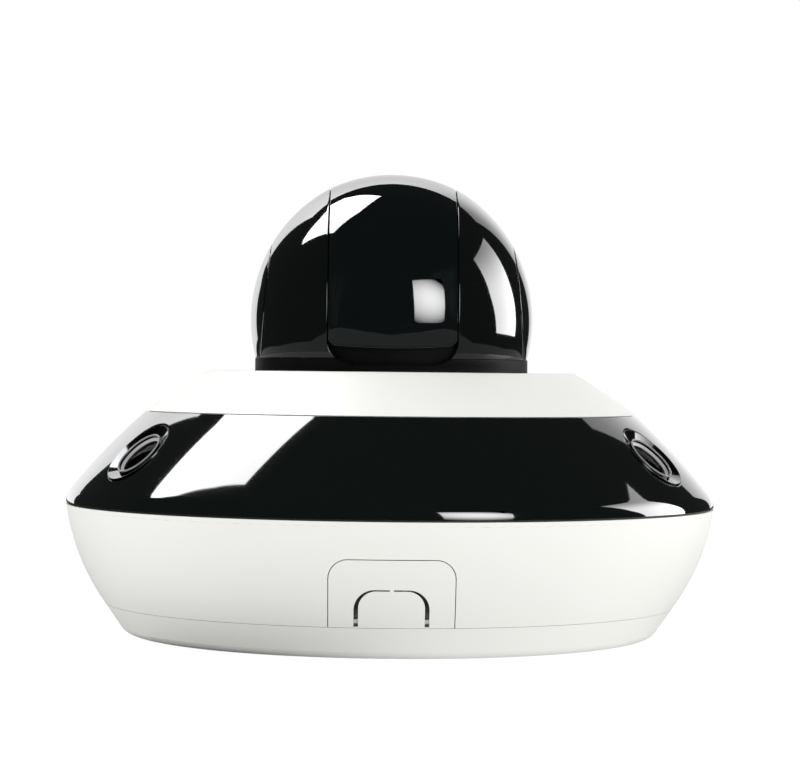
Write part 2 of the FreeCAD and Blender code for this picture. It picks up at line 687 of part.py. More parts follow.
# Main housing: the white bowl, with its floor, cable pocket, posts and legs
BOWL_IN = "bowl_arc - wall"
FLOOR_TOP = "(floor_z + floor_t)"
LIP_R = "(rim_r - rim_step)"
housing_turned = turned("housing_turned", [
    Corner(on_arc("bowl", BOWL_IN, "seam_z"), "seam_z"),
    Corner("seam_r", "seam_z", "bowl_arc"),
    Corner("rim_r", "rim_z"),
    Corner(LIP_R, "rim_z"),
    Corner(LIP_R, "rim_z + rim_lip"),
    Corner(f"{LIP_R} - rim_lip_w", "rim_z + rim_lip"),
    Corner(f"{LIP_R} - rim_lip_w", "rim_z - rim_web"),
    Corner(on_arc("bowl", BOWL_IN, "rim_z - rim_web - rim_lip_w"), "rim_z - rim_web - rim_lip_w", BOWL_IN,
           -1),
    Corner(on_arc("bowl", BOWL_IN, FLOOR_TOP), FLOOR_TOP),
    Corner("0", FLOOR_TOP),
    Corner("0", "floor_z"),
    Corner(on_arc("bowl", BOWL_IN, "floor_z"), "floor_z", BOWL_IN, -1),
])
POCKET_END = f"(sqrt({on_arc('bowl', BOWL_IN, FLOOR_TOP)}^2 - (cover_w / 2 + pocket_wall)^2) + wall / 2)"
POCKET_MID = f"(-(pocket_r + {POCKET_END}) / 2)"
pocket = block("pocket_blank", "cover_w + 2 * pocket_wall", f"{POCKET_END} - pocket_r",
               "cover_top + pocket_wall - floor_z",
               y=POCKET_MID, z="floor_z")


def cover_outline(gap):
    """The cable opening in front view, drawn in by a gap: square feet and round shoulders."""
    half = f"(cover_w / 2 - ({gap}))"
    top = f"(cover_top - ({gap}))"
    corner = f"(cover_corner - ({gap}))"
    foot = f"(seam_z - past + ({gap}))"
    return [
        Corner(f"-{half}", foot),
        Corner(half, foot),
        Corner(half, f"{top} - {corner}", corner),
        Corner(f"{half} - {corner}", top),
        Corner(f"-({half} - {corner})", top, corner),
        Corner(f"-{half}", f"{top} - {corner}"),
    ]


front_half = block("front_half", REACH, "rim_r", REACH, y="-pocket_r - pocket_wall - rim_r / 2", z="-rim_r")
opening = common("cable_opening", padded("opening_prism", cover_outline("0"), REACH), front_half)
post_turns = spread("post_count")
board_turns = spread("board_post_count")
posts = []
post_holes = []
for index, azimuth in enumerate(post_turns):
    spot = around(azimuth, at(y="-post_r", z=FLOOR_TOP))
    posts.append(cylinder(f"chassis_post_{index}", "post_radius", f"chassis_z - {FLOOR_TOP}", spot))
    spot = around(azimuth, at(y="-post_r", z="chassis_z - screw_depth - fit_gap"))
    post_holes.append(cylinder(f"post_hole_{index}", "screw_r + running_gap",
                               "screw_depth + fit_gap + past", spot))
for index, azimuth in enumerate(board_turns):
    spot = around(azimuth, at(y="-board_post_r", z=FLOOR_TOP))
    posts.append(cylinder(f"board_post_{index}", "post_radius", f"board_z - {FLOOR_TOP}", spot))
    spot = around(azimuth, at(y="-board_post_r", z="floor_z + post_floor"))
    post_holes.append(cylinder(f"board_post_hole_{index}", "screw_r + running_gap", "board_z - floor_z",
                               spot))
for index, azimuth in enumerate(lock_turns):
    frame = turn(azimuth)
    legs_y = f"-({LEG_OUT} - leg_t / 2)"
    posts.append(block(f"lock_leg_{index}", "leg_w", "leg_t", "floor_z - leg_z + leg_root", y=legs_y,
                       z="leg_z", where=frame))
    hole = cylinder(f"leg_hole_{index}", "lock_r + running_gap", "leg_t + 2 * past",
                    lock_axis(azimuth, f"{LEG_OUT} - leg_t - past"))
    post_holes.append(hole)
floor_windows = [
    block("jack_window", "jack_w + 2 * grommet_t", "jack_d + 2 * grommet_t", "floor_t + 2 * past",
          x="jack_x", z="floor_z - past"),
    block("terminal_window", "terminal_w + 2 * window_gap", "terminal_d + 2 * window_gap",
          "floor_t + 2 * past",
          x="terminal_x", y="terminal_y", z="floor_z - past"),
    block("card_window", "card_t + 2 * slot_wall + 2 * window_gap",
          "card_w + 2 * slot_wall + 2 * window_gap",
          "floor_t + 2 * past", x="card_x", z="floor_z - past"),
    cylinder("reset_window", "button_r + window_gap", "floor_t + 2 * past", at("card_x", "reset_y",
                                                                               "floor_z - past")),
]
housing_solid = fuse("housing_solid", housing_turned, pocket, *posts)
piece("main_housing", cut("main_housing", housing_solid, opening, *post_holes, *floor_windows))

# Cable cover: a piece of the bowl's own skin, with the arch of slots round its knock-out
skin = turned("bowl_skin", [
    Corner(on_arc("bowl", BOWL_IN, "seam_z"), "seam_z"),
    Corner("seam_r", "seam_z", "bowl_arc"),
    Corner("rim_r", "rim_z"),
    Corner(on_arc("bowl", BOWL_IN, "rim_z"), "rim_z", BOWL_IN, -1),
])
def arch(name, half, foot, top, corner):
    """A prism with square feet and round shoulders."""
    return padded(name, [
        Corner(f"-{half}", foot),
        Corner(half, foot),
        Corner(half, f"{top} - {corner}", corner),
        Corner(f"{half} - {corner}", top),
        Corner(f"-({half} - {corner})", top, corner),
        Corner(f"-{half}", f"{top} - {corner}"),
    ], REACH)


ARCH_TOP = "(arch_foot + arch_h)"
BRIDGE_FACE = f"(sqrt({on_arc('bowl', 'bowl_arc', 'bridge_z')}^2 - (arch_w / 2)^2) - bridge_back)"
arch_outer = arch("arch_outer", "(arch_w / 2)", "arch_foot", ARCH_TOP, "arch_round")
arch_inner = arch("arch_inner", "(arch_w / 2 - arch_side)", "seam_z - past", f"({ARCH_TOP} - arch_top)",
                  "(arch_round - (arch_side + arch_top) / 2)")
bridges = [
    block("top_bridge", "bridge_w", REACH, "arch_h", z=f"{ARCH_TOP} - arch_h / 2"),
    block("side_bridge", REACH, REACH, "bridge_w", y=f"{REACH} / 2 - {BRIDGE_FACE}", z="bridge_z"),
]
arch_slot = cut("arch_slot", arch_outer, arch_inner, *bridges)
cover_plate = common("cover_plate", skin, padded("cover_prism", cover_outline("fit_gap"), REACH),
                     front_half)
piece("cable_cover", cut("cable_cover", cover_plate, arch_slot))

# Gasket on the bowl's rim
piece("housing_gasket", tube("housing_gasket", "rim_r - gasket_inset", f"{LIP_R} + fit_gap", "gasket_t",
                             at(z="rim_z")))

# Lens band: the black cone with three round holes
BAND_IN = "band_arc - wall"
FLANGE_Z = "(band_top_z - wall)"
band_turned = turned("band_turned", [
    Corner(f"{LIP_R} + fit_gap", "band_z"),
    Corner("rim_r", "band_z"),
    Corner("rim_r", "band_z + band_edge", "band_round"),
    Corner("band_foot_r", "band_foot_z", "band_arc"),
    Corner("band_top_r", "band_top_z"),
    Corner("band_top_r - band_flange", "band_top_z"),
    Corner("band_top_r - band_flange", FLANGE_Z),
    Corner(on_arc("slope", BAND_IN, FLANGE_Z), FLANGE_Z, BAND_IN, -1),
    Corner(on_arc("slope", BAND_IN, "band_foot_z"), "band_foot_z"),
    Corner(f"{LIP_R} + fit_gap", "band_foot_z - rim_step / 2"),
])


def lens_frame(azimuth):
    """A frame on a lens axis: origin where it meets the band, local +Z outwards."""
    return around(azimuth, "placement(vector(0; -lens_r; lens_z); rotation(vector(1; 0; 0); 90 - lens_up))")


lens_turns = [f"lens_turn + 360 / lens_count * {index}" for index in range(round(number("lens_count")))]
band_holes = [
    cylinder(f"lens_hole_{index + 1}", "bezel_r + bezel_gap", "2 * bezel_r",
             lens_frame(azimuth) + " * " + at(z="-bezel_r"))
    for index, azimuth in enumerate(lens_turns)
]
piece("lens_band", cut("lens_band", band_turned, *band_holes))

# Collar: the white cone above the band, with the turret's opening and its seal
CONE_IN = "collar_arc - wall"
piece("collar", turned("collar", [
    Corner(on_arc("cone", CONE_IN, "band_top_z + collar_seat"), "band_top_z"),
    Corner("band_top_r - collar_rebate", "band_top_z"),
    Corner("band_top_r - collar_rebate", "collar_foot_z"),
    Corner("band_top_r", "collar_foot_z", "collar_arc"),
    Corner("shoulder_r", "shoulder_z", "shoulder_round"),
    Corner("shoulder_r - shoulder_w", "collar_z"),
    Corner("opening_r", "collar_z"),
    Corner("opening_r", "collar_z - wall"),
    Corner(on_arc("cone", CONE_IN, "collar_z - wall"), "collar_z - wall", CONE_IN, -1),
    Corner(on_arc("cone", CONE_IN, "band_top_z + collar_seat"), "band_top_z + collar_seat"),
]))
SEAL_IN = "skirt_r + seal_gap"
piece("turret_seal", tube("turret_seal", f"{SEAL_IN} + seal_w", SEAL_IN, "seal_t",
                          at(z="collar_z - wall - seal_t")))

# Chassis: an aluminium plate on the posts, with the seat of the pan bearing
chassis_turned = turned("chassis_turned", [
    Corner("bearing_r - seat_step", "chassis_z"),
    Corner("chassis_r", "chassis_z"),
    Corner("chassis_r", "chassis_top"),
    Corner("bearing_r + seat_wall", "chassis_top"),
    Corner("bearing_r + seat_wall", "bearing_z + bearing_w + seat_rise"),
    Corner("bearing_r", "bearing_z + bearing_w + seat_rise"),
    Corner("bearing_r", "bearing_z"),
    Corner("bearing_r - seat_step", "bearing_z"),
])
chassis_holes = [
    cylinder(f"chassis_hole_{index}", "screw_r + 2 * running_gap", "chassis_t + 2 * past",
             around(azimuth, at(y="-post_r", z="chassis_z - past")))
    for index, azimuth in enumerate(post_turns)
]
for index, azimuth in enumerate(lens_turns):
    frame = around(azimuth, at(y="-chassis_cable_at", z="chassis_z - past"))
    chassis_holes.append(cylinder(f"chassis_cable_hole_{index}", "chassis_cable_r", "chassis_t + 2 * past",
                                  frame))
piece("chassis", cut("chassis", chassis_turned, *chassis_holes))

screws = []
for index, azimuth in enumerate(post_turns):
    foot = around(azimuth, at(y="-post_r", z="chassis_z - screw_depth"))
    top = around(azimuth, at(y="-post_r", z="chassis_top"))
    shank = cylinder(f"chassis_shank_{index}", "screw_r", "screw_depth + chassis_t", foot)
    head = cylinder(f"chassis_head_{index}", "screw_head_r", "screw_head_t", top)
    screws.append(fuse(f"chassis_screw_{index}", shank, head))
for index, azimuth in enumerate(board_turns):
    foot = around(azimuth, at(y="-board_post_r", z="floor_z + post_floor + fit_gap"))
    top = around(azimuth, at(y="-board_post_r", z="board_z + board_t"))
    shank = cylinder(f"board_shank_{index}", "screw_r",
                     "board_z + board_t - floor_z - post_floor - fit_gap", foot)
    head = cylinder(f"board_head_{index}", "screw_head_r", "screw_head_t", top)
    screws.append(fuse(f"board_screw_{index}", shank, head))
piece("inner_screws", group("inner_screws", screws))

# Standoffs that hold the collar above the chassis
STANDOFF_REACH = "(standoff_r + standoff_radius - cone_r)"
STANDOFF_TOP = f"(cone_z + sqrt((collar_arc - wall)^2 - {STANDOFF_REACH}^2) - seat_gap)"
standoffs = []
for index, azimuth in enumerate(lens_turns):
    spot = around(f"{azimuth} + 180 / lens_count", at(y="-standoff_r", z="chassis_top"))
    standoffs.append(cylinder(f"standoff_{index}", "standoff_radius", f"{STANDOFF_TOP} - chassis_top",
                              spot))
piece("collar_standoffs", group("collar_standoffs", standoffs))

# Main board under the chassis, with the processor and its pad on top
piece("main_board", cut("main_board", cylinder("board_blank", "board_r", "board_t", at(z="board_z")), *[
    cylinder(f"board_hole_{index}", "screw_r + running_gap", "board_t + 2 * past",
             around(azimuth, at(y="-board_post_r", z="board_z - past")))
    for index, azimuth in enumerate(board_turns)
]))
BOARD_TOP = "(board_z + board_t)"
piece("processor", block("processor", "chip_w", "chip_w", "chip_t", "chip_x", "chip_x", BOARD_TOP))
piece("thermal_pad", block("thermal_pad", "chip_w - 2 * pad_inset", "chip_w - 2 * pad_inset",
                           f"chassis_z - {BOARD_TOP} - chip_t", "chip_x", "chip_x",
                           f"{BOARD_TOP} + chip_t"))

# What hangs from the board through the floor's windows: jack, terminals, card slot and reset switch
socket = block("socket", "socket_w", "socket_d", "socket_deep + past", "jack_x", z="jack_z - past")
latch = block("socket_latch", "latch_w", "socket_d / 2", "socket_deep + past",
              "jack_x + socket_w / 2 + latch_w / 2",
              z="jack_z - past")
jack = block("jack_blank", "jack_w", "jack_d", "board_z - jack_z", "jack_x", z="jack_z")
piece("network_jack", cut("network_jack", jack, socket, latch))
GROMMET_H = "floor_t + 2 * grommet_lip"
grommet_hole = block("grommet_hole", "jack_w", "jack_d", "board_z - jack_z", "jack_x", z="jack_z")
grommet_plug = block("grommet_plug", "jack_w + 2 * grommet_t", "jack_d + 2 * grommet_t", GROMMET_H,
                     "jack_x",
                     z="floor_z - grommet_lip")
piece("cable_grommet", cut("cable_grommet", grommet_plug, grommet_hole))
terminals = block("terminals", "terminal_w", "terminal_d", "board_z - terminal_z", "terminal_x",
                  "terminal_y", "terminal_z")
wire_holes = [
    cylinder(f"wire_hole_{index}", "wire_r", "wire_deep + past",
             at(f"terminal_x + {side} * terminal_w / 4", "terminal_y", "terminal_z - past"))
    for index, side in enumerate([-1, 1])
]
piece("terminal_block", cut("terminal_block", terminals, *wire_holes))
slot_blank = block("slot_blank", "card_t + 2 * slot_wall", "card_w + 2 * slot_wall", "board_z - slot_z",
                   "card_x", z="slot_z")
slot_hole = block("slot_hole", "card_t + 2 * card_gap", "card_w + 2 * card_gap",
                  "card_l - card_out + past + fit_gap", "card_x",
                  z="slot_z - past")
piece("card_slot", cut("card_slot", slot_blank, slot_hole))
piece("memory_card", block("memory_card", "card_t", "card_w", "card_l", "card_x", z="slot_z - card_out"))
SWITCH_Z = "(board_z - switch_h)"
SWITCH_MOUTH = "(button_seat + button_travel + button_stop)"
switch_blank = block("switch_blank", "switch_w", "switch_w", "switch_h", "card_x", "reset_y", SWITCH_Z)
switch_hole = cylinder("switch_hole", "button_r + running_gap", f"{SWITCH_MOUTH} + past",
                       at("card_x", "reset_y", f"{SWITCH_Z} - past"))
piece("reset_switch", cut("reset_switch", switch_blank, switch_hole))
piece("reset_button", cylinder("reset_button", "button_r", f"{SWITCH_Z} + button_seat - button_z",
                               at("card_x", "reset_y", "button_z")))

# Pan bearing: two grooved rings, the balls and their cage
GROOVE = "(ball_r + ball_gap)"


def groove_half(face_r):
    """Half width of the groove where it breaks a ring's face."""
    return f"sqrt({GROOVE}^2 - (({face_r}) - ball_ring)^2)"


INNER_FACE = "(bearing_bore + race_t)"
OUTER_FACE = "(bearing_r - race_t)"
BEARING_TOP = "bearing_z + bearing_w"
piece("pan_bearing_inner", turned("pan_bearing_inner", [
    Corner("bearing_bore", "bearing_z"),
    Corner(INNER_FACE, "bearing_z"),
    Corner(INNER_FACE, f"ball_z - {groove_half(INNER_FACE)}", GROOVE, -1),
    Corner(INNER_FACE, f"ball_z + {groove_half(INNER_FACE)}"),
    Corner(INNER_FACE, BEARING_TOP),
    Corner("bearing_bore", BEARING_TOP),
]))
piece("pan_bearing_outer", turned("pan_bearing_outer", [
    Corner(OUTER_FACE, "bearing_z"),
    Corner("bearing_r", "bearing_z"),
    Corner("bearing_r", BEARING_TOP),
    Corner(OUTER_FACE, BEARING_TOP),
    Corner(OUTER_FACE, f"ball_z + {groove_half(OUTER_FACE)}", GROOVE, -1),
    Corner(OUTER_FACE, f"ball_z - {groove_half(OUTER_FACE)}"),
]))
cage_blank = tube("cage_blank", "ball_ring + cage_t / 2", "ball_ring - cage_t / 2", "cage_w",
                  at(z="ball_z - cage_w / 2"))
ball_turns = [f"360 / ball_count * {index}" for index in range(round(number("ball_count")))]
balls = []
pockets = []
for index, azimuth in enumerate(ball_turns):
    spot = bind(doc.addObject("Part::Sphere", f"ball_{index}"), Radius="ball_r")
    balls.append(put(spot, around(azimuth, at(y="-ball_ring", z="ball_z"))))
    frame = around(azimuth, at(y="-(ball_ring - cage_t)", z="ball_z", axis="-Y"))
    pockets.append(cylinder(f"cage_pocket_{index}", GROOVE, "2 * cage_t", frame))
piece("pan_bearing_balls", group("pan_bearing_balls", [cut("ball_cage", cage_blank, *pockets), *balls]))

# Pan drive: motor on the chassis, pinion on its shaft
MOTOR_TOP = "(chassis_top + motor_h)"
motor_can = cylinder("motor_can", "motor_r", "motor_h", at(y="-pan_centres", z="chassis_top"))
motor_ears = block("motor_ears", "ear_w", "ear_d", "ear_t", y="-pan_centres", z=f"{MOTOR_TOP} - ear_t")
shaft_hole = cylinder("motor_shaft_hole", "motor_shaft_r + running_gap", "shaft_depth + seat_gap + past",
                      at(y="-pan_centres", z=f"{MOTOR_TOP} - shaft_depth - seat_gap"))
piece("pan_motor", cut("pan_motor", fuse("motor_solid", motor_can, motor_ears), shaft_hole))
pinion = gear("pan_pinion_gear", "pan_pinion_teeth", "gear_module", "pan_gear_t + 2 * pinion_lap", "0",
              "90 + 180 / pan_pinion_teeth", at(y="-pan_centres", z="pan_gear_z - pinion_lap"))
pinion_shaft = cylinder("pan_shaft", "motor_shaft_r", f"pan_gear_z - {MOTOR_TOP} + shaft_depth",
                        at(y="-pan_centres", z=f"{MOTOR_TOP} - shaft_depth"))
piece("pan_pinion", fuse("pan_pinion", pinion, pinion_shaft))

# Fixed lens modules, each built on its own axis and carried to its place in the band
GLASS_R = "(bezel_r - bezel_tube - fit_gap)"
GLASS_Z = "(-retainer_z - retainer_t)"
DOME_R = "(retainer_r - fit_gap)"
for index, azimuth in enumerate(lens_turns):
    frame = lens_frame(azimuth)
    name = f"_{index + 1}"
    piece("lens_bezel" + name, turned("lens_bezel" + name, [
        Corner("bezel_r - bezel_tube", "-bezel_deep"),
        Corner("bezel_r", "-bezel_deep"),
        Corner("bezel_r", "-bezel_drop"),
        Corner("bezel_r - bezel_rim_w", "-bezel_drop + bezel_crown"),
        Corner("bezel_cone_r", "-bezel_cone_deep"),
        Corner("bezel_cone_r - retainer_draft", "-retainer_z"),
        Corner("retainer_r", "-retainer_z"),
        Corner("retainer_r", "-retainer_z - retainer_t"),
        Corner("bezel_r - bezel_tube", "-retainer_z - retainer_t"),
    ], frame))
    piece("lens_window" + name, turned("lens_window" + name, [
        Corner("0", f"{GLASS_Z} - glass_t"),
        Corner(GLASS_R, f"{GLASS_Z} - glass_t"),
        Corner(GLASS_R, GLASS_Z),
        Corner(DOME_R, GLASS_Z, f"({DOME_R}^2 + glass_dome^2) / (2 * glass_dome)"),
        Corner("0", f"{GLASS_Z} + glass_dome"),
    ], frame))
    piece("lens_barrel" + name, turned("lens_barrel" + name, [
        Corner("0", "-barrel_l"),
        Corner("thread_r", "-barrel_l"),
        Corner("thread_r", "-barrel_front - barrel_head"),
        Corner("barrel_r", "-barrel_front - barrel_head"),
        Corner("barrel_r", "-barrel_front"),
        Corner("barrel_r - barrel_lip", "-barrel_front"),
        Corner("hood_r", "-barrel_front - hood_deep", "(hood_r^2 + element_dome^2) / (2 * element_dome)"),
        Corner("0", "-barrel_front - hood_deep + element_dome"),
    ], frame))
    plate = block(f"holder_plate{name}", "holder_l", "holder_w", "holder_t", z="-holder_z", where=frame)
    sleeve = block(f"holder_sleeve{name}", "sleeve_w", "sleeve_w", "sleeve_deep",
                   z="-holder_z - sleeve_deep", where=frame)
    well = block(f"holder_well{name}", "sleeve_w - 2 * sleeve_wall", "sleeve_w - 2 * sleeve_wall",
                 "sleeve_deep", z="-holder_z - sleeve_deep", where=frame)
    bore = cylinder(f"holder_bore{name}", "thread_r + running_gap", "2 * holder_t + sleeve_deep",
                    frame + " * " + at(z="-holder_z - sleeve_deep"))
    legs = [
        block(f"holder_leg{name}_{side}", "foot_w", "foot_d", "foot_top - chassis_top",
              x=f"{side} * (holder_l - foot_w) / 2", y="-foot_r", z="chassis_top", where=turn(azimuth))
        for side in (-1, 1)
    ]
    holder = cut(f"holder{name}", fuse(f"holder_solid{name}", plate, sleeve, *legs), well, bore)
    piece("lens_bracket" + name, holder)
boards = [
    block(f"eye_board_{index + 1}", "eye_board_w", "eye_board_w", "eye_board_t",
          z="-holder_z - sleeve_deep - eye_board_t", where=lens_frame(azimuth))
    for index, azimuth in enumerate(lens_turns)
]
piece("lens_sensor_boards", group("lens_sensor_boards", boards))

# Turret shell: two cheeks on a skirt, cut by the drum's slot and the side caps
SLOT_HALF = "(drum_half + slot_gap)"


def cheek(side, inset, name):
    """Half of a cheek's sphere, drawn in by an inset. Side -1 is the left one."""
    ball = sphere(f"{name}_ball", f"cheek_r - ({inset})", x=f"{-side} * cheek_shift", z="tilt_z")
    room = block(f"{name}_room", REACH, REACH, REACH, x=f"{side} * ({SLOT_HALF} + {REACH} / 2)",
                 z="shell_foot")
    return common(name, ball, room)


def corner_web(side, name):
    """The cheek's skin carried on across a lower corner of the drum's slot."""
    ball = sphere(f"{name}_ball", "cheek_r", x=f"{-side} * cheek_shift", z="tilt_z")
    room = block(f"{name}_room", "lip_corner", REACH, "lip_corner",
                 x=f"{side} * ({SLOT_HALF} - lip_corner / 2)", y=f"-{REACH} / 2", z="lip_top")
    return common(name, ball, room)


def slot_outline(gap):
    """Front view of the drum's slot, drawn in by a gap, with rounded lower corners."""
    half = f"({SLOT_HALF} - ({gap}))"
    foot = f"(lip_top + ({gap}))"
    return [
        Corner(f"-({half} - lip_corner)", foot),
        Corner(f"{half} - lip_corner", foot, "lip_corner"),
        Corner(half, f"{foot} + lip_corner"),
        Corner(half, "tilt_z + rim_r"),
        Corner(f"-{half}", "tilt_z + rim_r"),
        Corner(f"-{half}", f"{foot} + lip_corner", "lip_corner"),
    ]


def cap_room(side, gap, name):
    """All that lies outside a side cap's leaning seam and above the skirt."""
    frame = at(f"{side} * (cap_x + ({gap}))", z="tilt_z") + " * " + turn(f"{-side} * cap_lean", "0; 1; 0")
    beyond = block(f"{name}_side", REACH, REACH, REACH, x=f"{side} * {REACH} / 2", z=f"-{REACH} / 2",
                   where=frame)
    above = block(f"{name}_above", REACH, REACH, REACH, z=f"skirt_top + ({gap})")
    return common(name, beyond, above)


skirt = cylinder("skirt_blank", "skirt_r", "skirt_top - skirt_foot", at(z="skirt_foot"))
skirt_bore = cylinder("skirt_bore", "skirt_r - skirt_t", "skirt_top - skirt_foot",
                      at(z="skirt_foot + flange_t"))
flange_hole = block("flange_hole", "2 * flange_in", REACH, "2 * flange_t", z="skirt_foot - past")
notches = block("flange_notches", "2 * (skirt_r - 2 * skirt_t)", "2 * flange_notch", "2 * flange_t",
                z="skirt_foot - past")
front_slot = padded("slot_prism", slot_outline("0"), REACH)
front_room = block("front_room", REACH, REACH, REACH, y=f"-{REACH} / 2")
back_slot = block("back_slot", f"2 * {SLOT_HALF}", REACH, REACH, y=f"{REACH} / 2", z="lip_top")
drum_room = common("drum_room", sphere("drum_sweep", "cover_r + sweep_gap", z="tilt_z"),
                   block("drum_slab", f"2 * {SLOT_HALF}", REACH, REACH))
shell_blank = fuse("shell_blank", skirt, cheek(-1, "0", "cheek_left"), cheek(1, "0", "cheek_right"),
                   corner_web(-1, "web_left"), corner_web(1, "web_right"))
piece("turret_shell", cut("turret_shell", shell_blank, skirt_bore, cheek(-1, "wall", "pod_left"),
                          cheek(1, "wall", "pod_right"),
                          flange_hole, notches, common("front_slot", front_slot,
                                                       front_room), back_slot, drum_room,
                          cap_room(-1, "0", "cap_hole_left"), cap_room(1, "0", "cap_hole_right")))
for side, label in ((-1, "left"), (1, "right")):
    skin = cut(f"cap_skin_{label}", cheek(side, "0", f"cap_out_{label}"),
               cheek(side, "wall", f"cap_in_{label}"))
    piece(f"turret_cap_{label}", common(f"turret_cap_{label}", skin, cap_room(side, "cap_gap",
                                                                              f"cap_room_{label}")))

# Yoke: hub, plate, two arms that carry the drum, and shelves that carry the shell
yoke_turned = turned("yoke_turned", [
    Corner("hub_bore", "hub_foot"),
    Corner("bearing_bore", "hub_foot"),
    Corner("bearing_bore", "ring_z"),
    Corner("bearing_bore - ring_groove", "ring_z"),
    Corner("bearing_bore - ring_groove", "ring_z + ring_t"),
    Corner("bearing_bore", "ring_z + ring_t"),
    Corner("bearing_bore", "yoke_z"),
    Corner("yoke_r", "yoke_z"),
    Corner("yoke_r", "yoke_z + yoke_t"),
    Corner("hub_bore", "yoke_z + yoke_t"),
])
arms = []
arm_holes = []
for side in (-1, 1):
    mid = f"{side} * (arm_x + arm_t / 2)"
    arms.append(block(f"arm_{side}", "arm_t", "arm_w", "tilt_z - yoke_z", x=mid, z="yoke_z"))
    end = at(f"{side} * (arm_x + arm_t / 2) - arm_t / 2", z="tilt_z", axis="X")
    arms.append(cylinder(f"arm_end_{side}", "arm_w / 2", "arm_t", end))
    shelf_mid = f"{side} * (arm_x + shelf_x) / 2"
    arms.append(block(f"shelf_{side}", "shelf_x - arm_x", "shelf_w", "shelf_t", x=shelf_mid,
                      z="skirt_foot - shelf_t"))
    through = at(f"{side} * (arm_x + arm_t / 2) - arm_t", z="tilt_z", axis="X")
    arm_holes.append(cylinder(f"arm_hole_{side}", "bush_r", "2 * arm_t", through))
screws = []
yoke_screw_turns = spread("yoke_screw_count")
for index, azimuth in enumerate(yoke_screw_turns):
    hole_foot = around(azimuth, at(y="-yoke_screw_r", z="yoke_z - past"))
    arm_holes.append(cylinder(f"yoke_hole_{index}", "screw_r + running_gap", "yoke_t + 2 * past",
                              hole_foot))
    head = cylinder(f"yoke_head_{index}", "screw_head_r", "screw_head_t",
                    around(azimuth, at(y="-yoke_screw_r", z="pan_gear_z - screw_head_t")))
    shank = cylinder(f"yoke_shank_{index}", "screw_r", "yoke_z + yoke_t - pan_gear_z",
                     around(azimuth, at(y="-yoke_screw_r", z="pan_gear_z")))
    screws.append(fuse(f"yoke_screw_{index}", head, shank))
piece("yoke", cut("yoke", fuse("yoke_solid", yoke_turned, *arms), *arm_holes))
piece("yoke_screws", group("yoke_screws", screws))
piece("retaining_ring", tube("retaining_ring", "ring_r", "bearing_bore - ring_groove", "ring_t",
                             at(z="ring_z")))
pan_blank = gear("pan_blank", "pan_teeth", "gear_module", "yoke_z - pan_gear_z",
                 "bearing_bore + running_gap", "-90",
                 at(z="pan_gear_z"))
step_down = tube("pan_step", "2 * pan_centres", "yoke_screw_r + web_step", "yoke_z - pan_gear_z",
                 at(z="pan_gear_z + pan_gear_t"))
gear_holes = [
    cylinder(f"gear_hole_{index}", "screw_r + running_gap", "yoke_z - pan_gear_z + 2 * past",
             around(azimuth, at(y="-yoke_screw_r", z="pan_gear_z - past")))
    for index, azimuth in enumerate(yoke_screw_turns)
]
piece("pan_gear", cut("pan_gear", pan_blank, step_down, *gear_holes))

# Tilt bushes in the arms, each with a flange on its outer side
bushes = []
for side, axis in ((-1, "-X"), (1, "X")):
    frame = at(f"{side} * arm_x", z="tilt_z", axis=axis)
    sleeve = cylinder(f"bush_sleeve_{axis}", "bush_r", "arm_t", frame)
    flange = cylinder(f"bush_flange_{axis}", "bush_flange_r", "bush_flange_t",
                      frame + " * " + at(z="arm_t"))
    bore = cylinder(f"bush_bore_{axis}", "trunnion_r + running_gap", "2 * arm_t + 2 * bush_flange_t",
                    frame + " * " + at(z="-arm_t / 2"))
    bushes.append(cut(f"bush_{axis}", fuse(f"bush_solid_{axis}", sleeve, flange), bore))
piece("tilt_bushes", group("tilt_bushes", bushes))

# Tilt drive in the left cheek: gear on the trunnion, pinion and motor below it
PLATE_X = "(tilt_gear_x + tilt_gear_t + side_gap)"
MOTOR_X = f"({PLATE_X} + tilt_plate_t)"
MOTOR_Z = "(tilt_z - tilt_centres)"
PLATE_H = f"({MOTOR_Z} + tilt_motor_r - skirt_foot)"
motor_plate = block("tilt_motor_plate", "tilt_plate_t", "tilt_plate_w", PLATE_H,
                    x=f"-({PLATE_X} + tilt_plate_t / 2)", z="skirt_foot")
motor_body = cylinder("tilt_motor_body", "tilt_motor_r", "tilt_motor_l", at(f"-{MOTOR_X}", z=MOTOR_Z,
                                                                            axis="-X"))
motor_bore = cylinder("tilt_motor_bore", "tilt_shaft_r + running_gap", "tilt_plate_t + shaft_depth + past",
                      at(f"-({PLATE_X} - past)", z=MOTOR_Z, axis="-X"))
piece("tilt_motor", cut("tilt_motor", fuse("tilt_motor_solid", motor_plate, motor_body), motor_bore))
LEFT_SIDE = DRUM_FRAME + " * " + at(z="tilt_gear_x")
tilt_pinion_gear = gear("tilt_pinion_gear", "tilt_pinion_teeth", "tilt_module", "tilt_gear_t", "0",
                        "90 + 180 / tilt_pinion_teeth",
                        LEFT_SIDE + " * " + at(y="-tilt_centres"))
tilt_shaft = cylinder("tilt_shaft", "tilt_shaft_r",
                      f"{MOTOR_X} + shaft_depth - past - seat_gap - tilt_gear_x",
                      LEFT_SIDE + " * " + at(y="-tilt_centres"))
piece("tilt_pinion", fuse("tilt_pinion", tilt_pinion_gear, tilt_shaft))
piece("tilt_gear", gear("tilt_gear", "tilt_teeth", "tilt_module", "tilt_gear_t", "trunnion_r", "-90",
                        LEFT_SIDE))

# Drum: smoked window over the upper front, and the smaller rear cover that runs under it
def wedge(low, high, name):
    """A sector about the tilt axis, from low to high degrees above the front."""
    frame = DRUM_FRAME + " * " + turn(low) + " * " + at(z=f"-{REACH} / 2")
    return cylinder(name, REACH, REACH, frame, f"({high}) - ({low})")


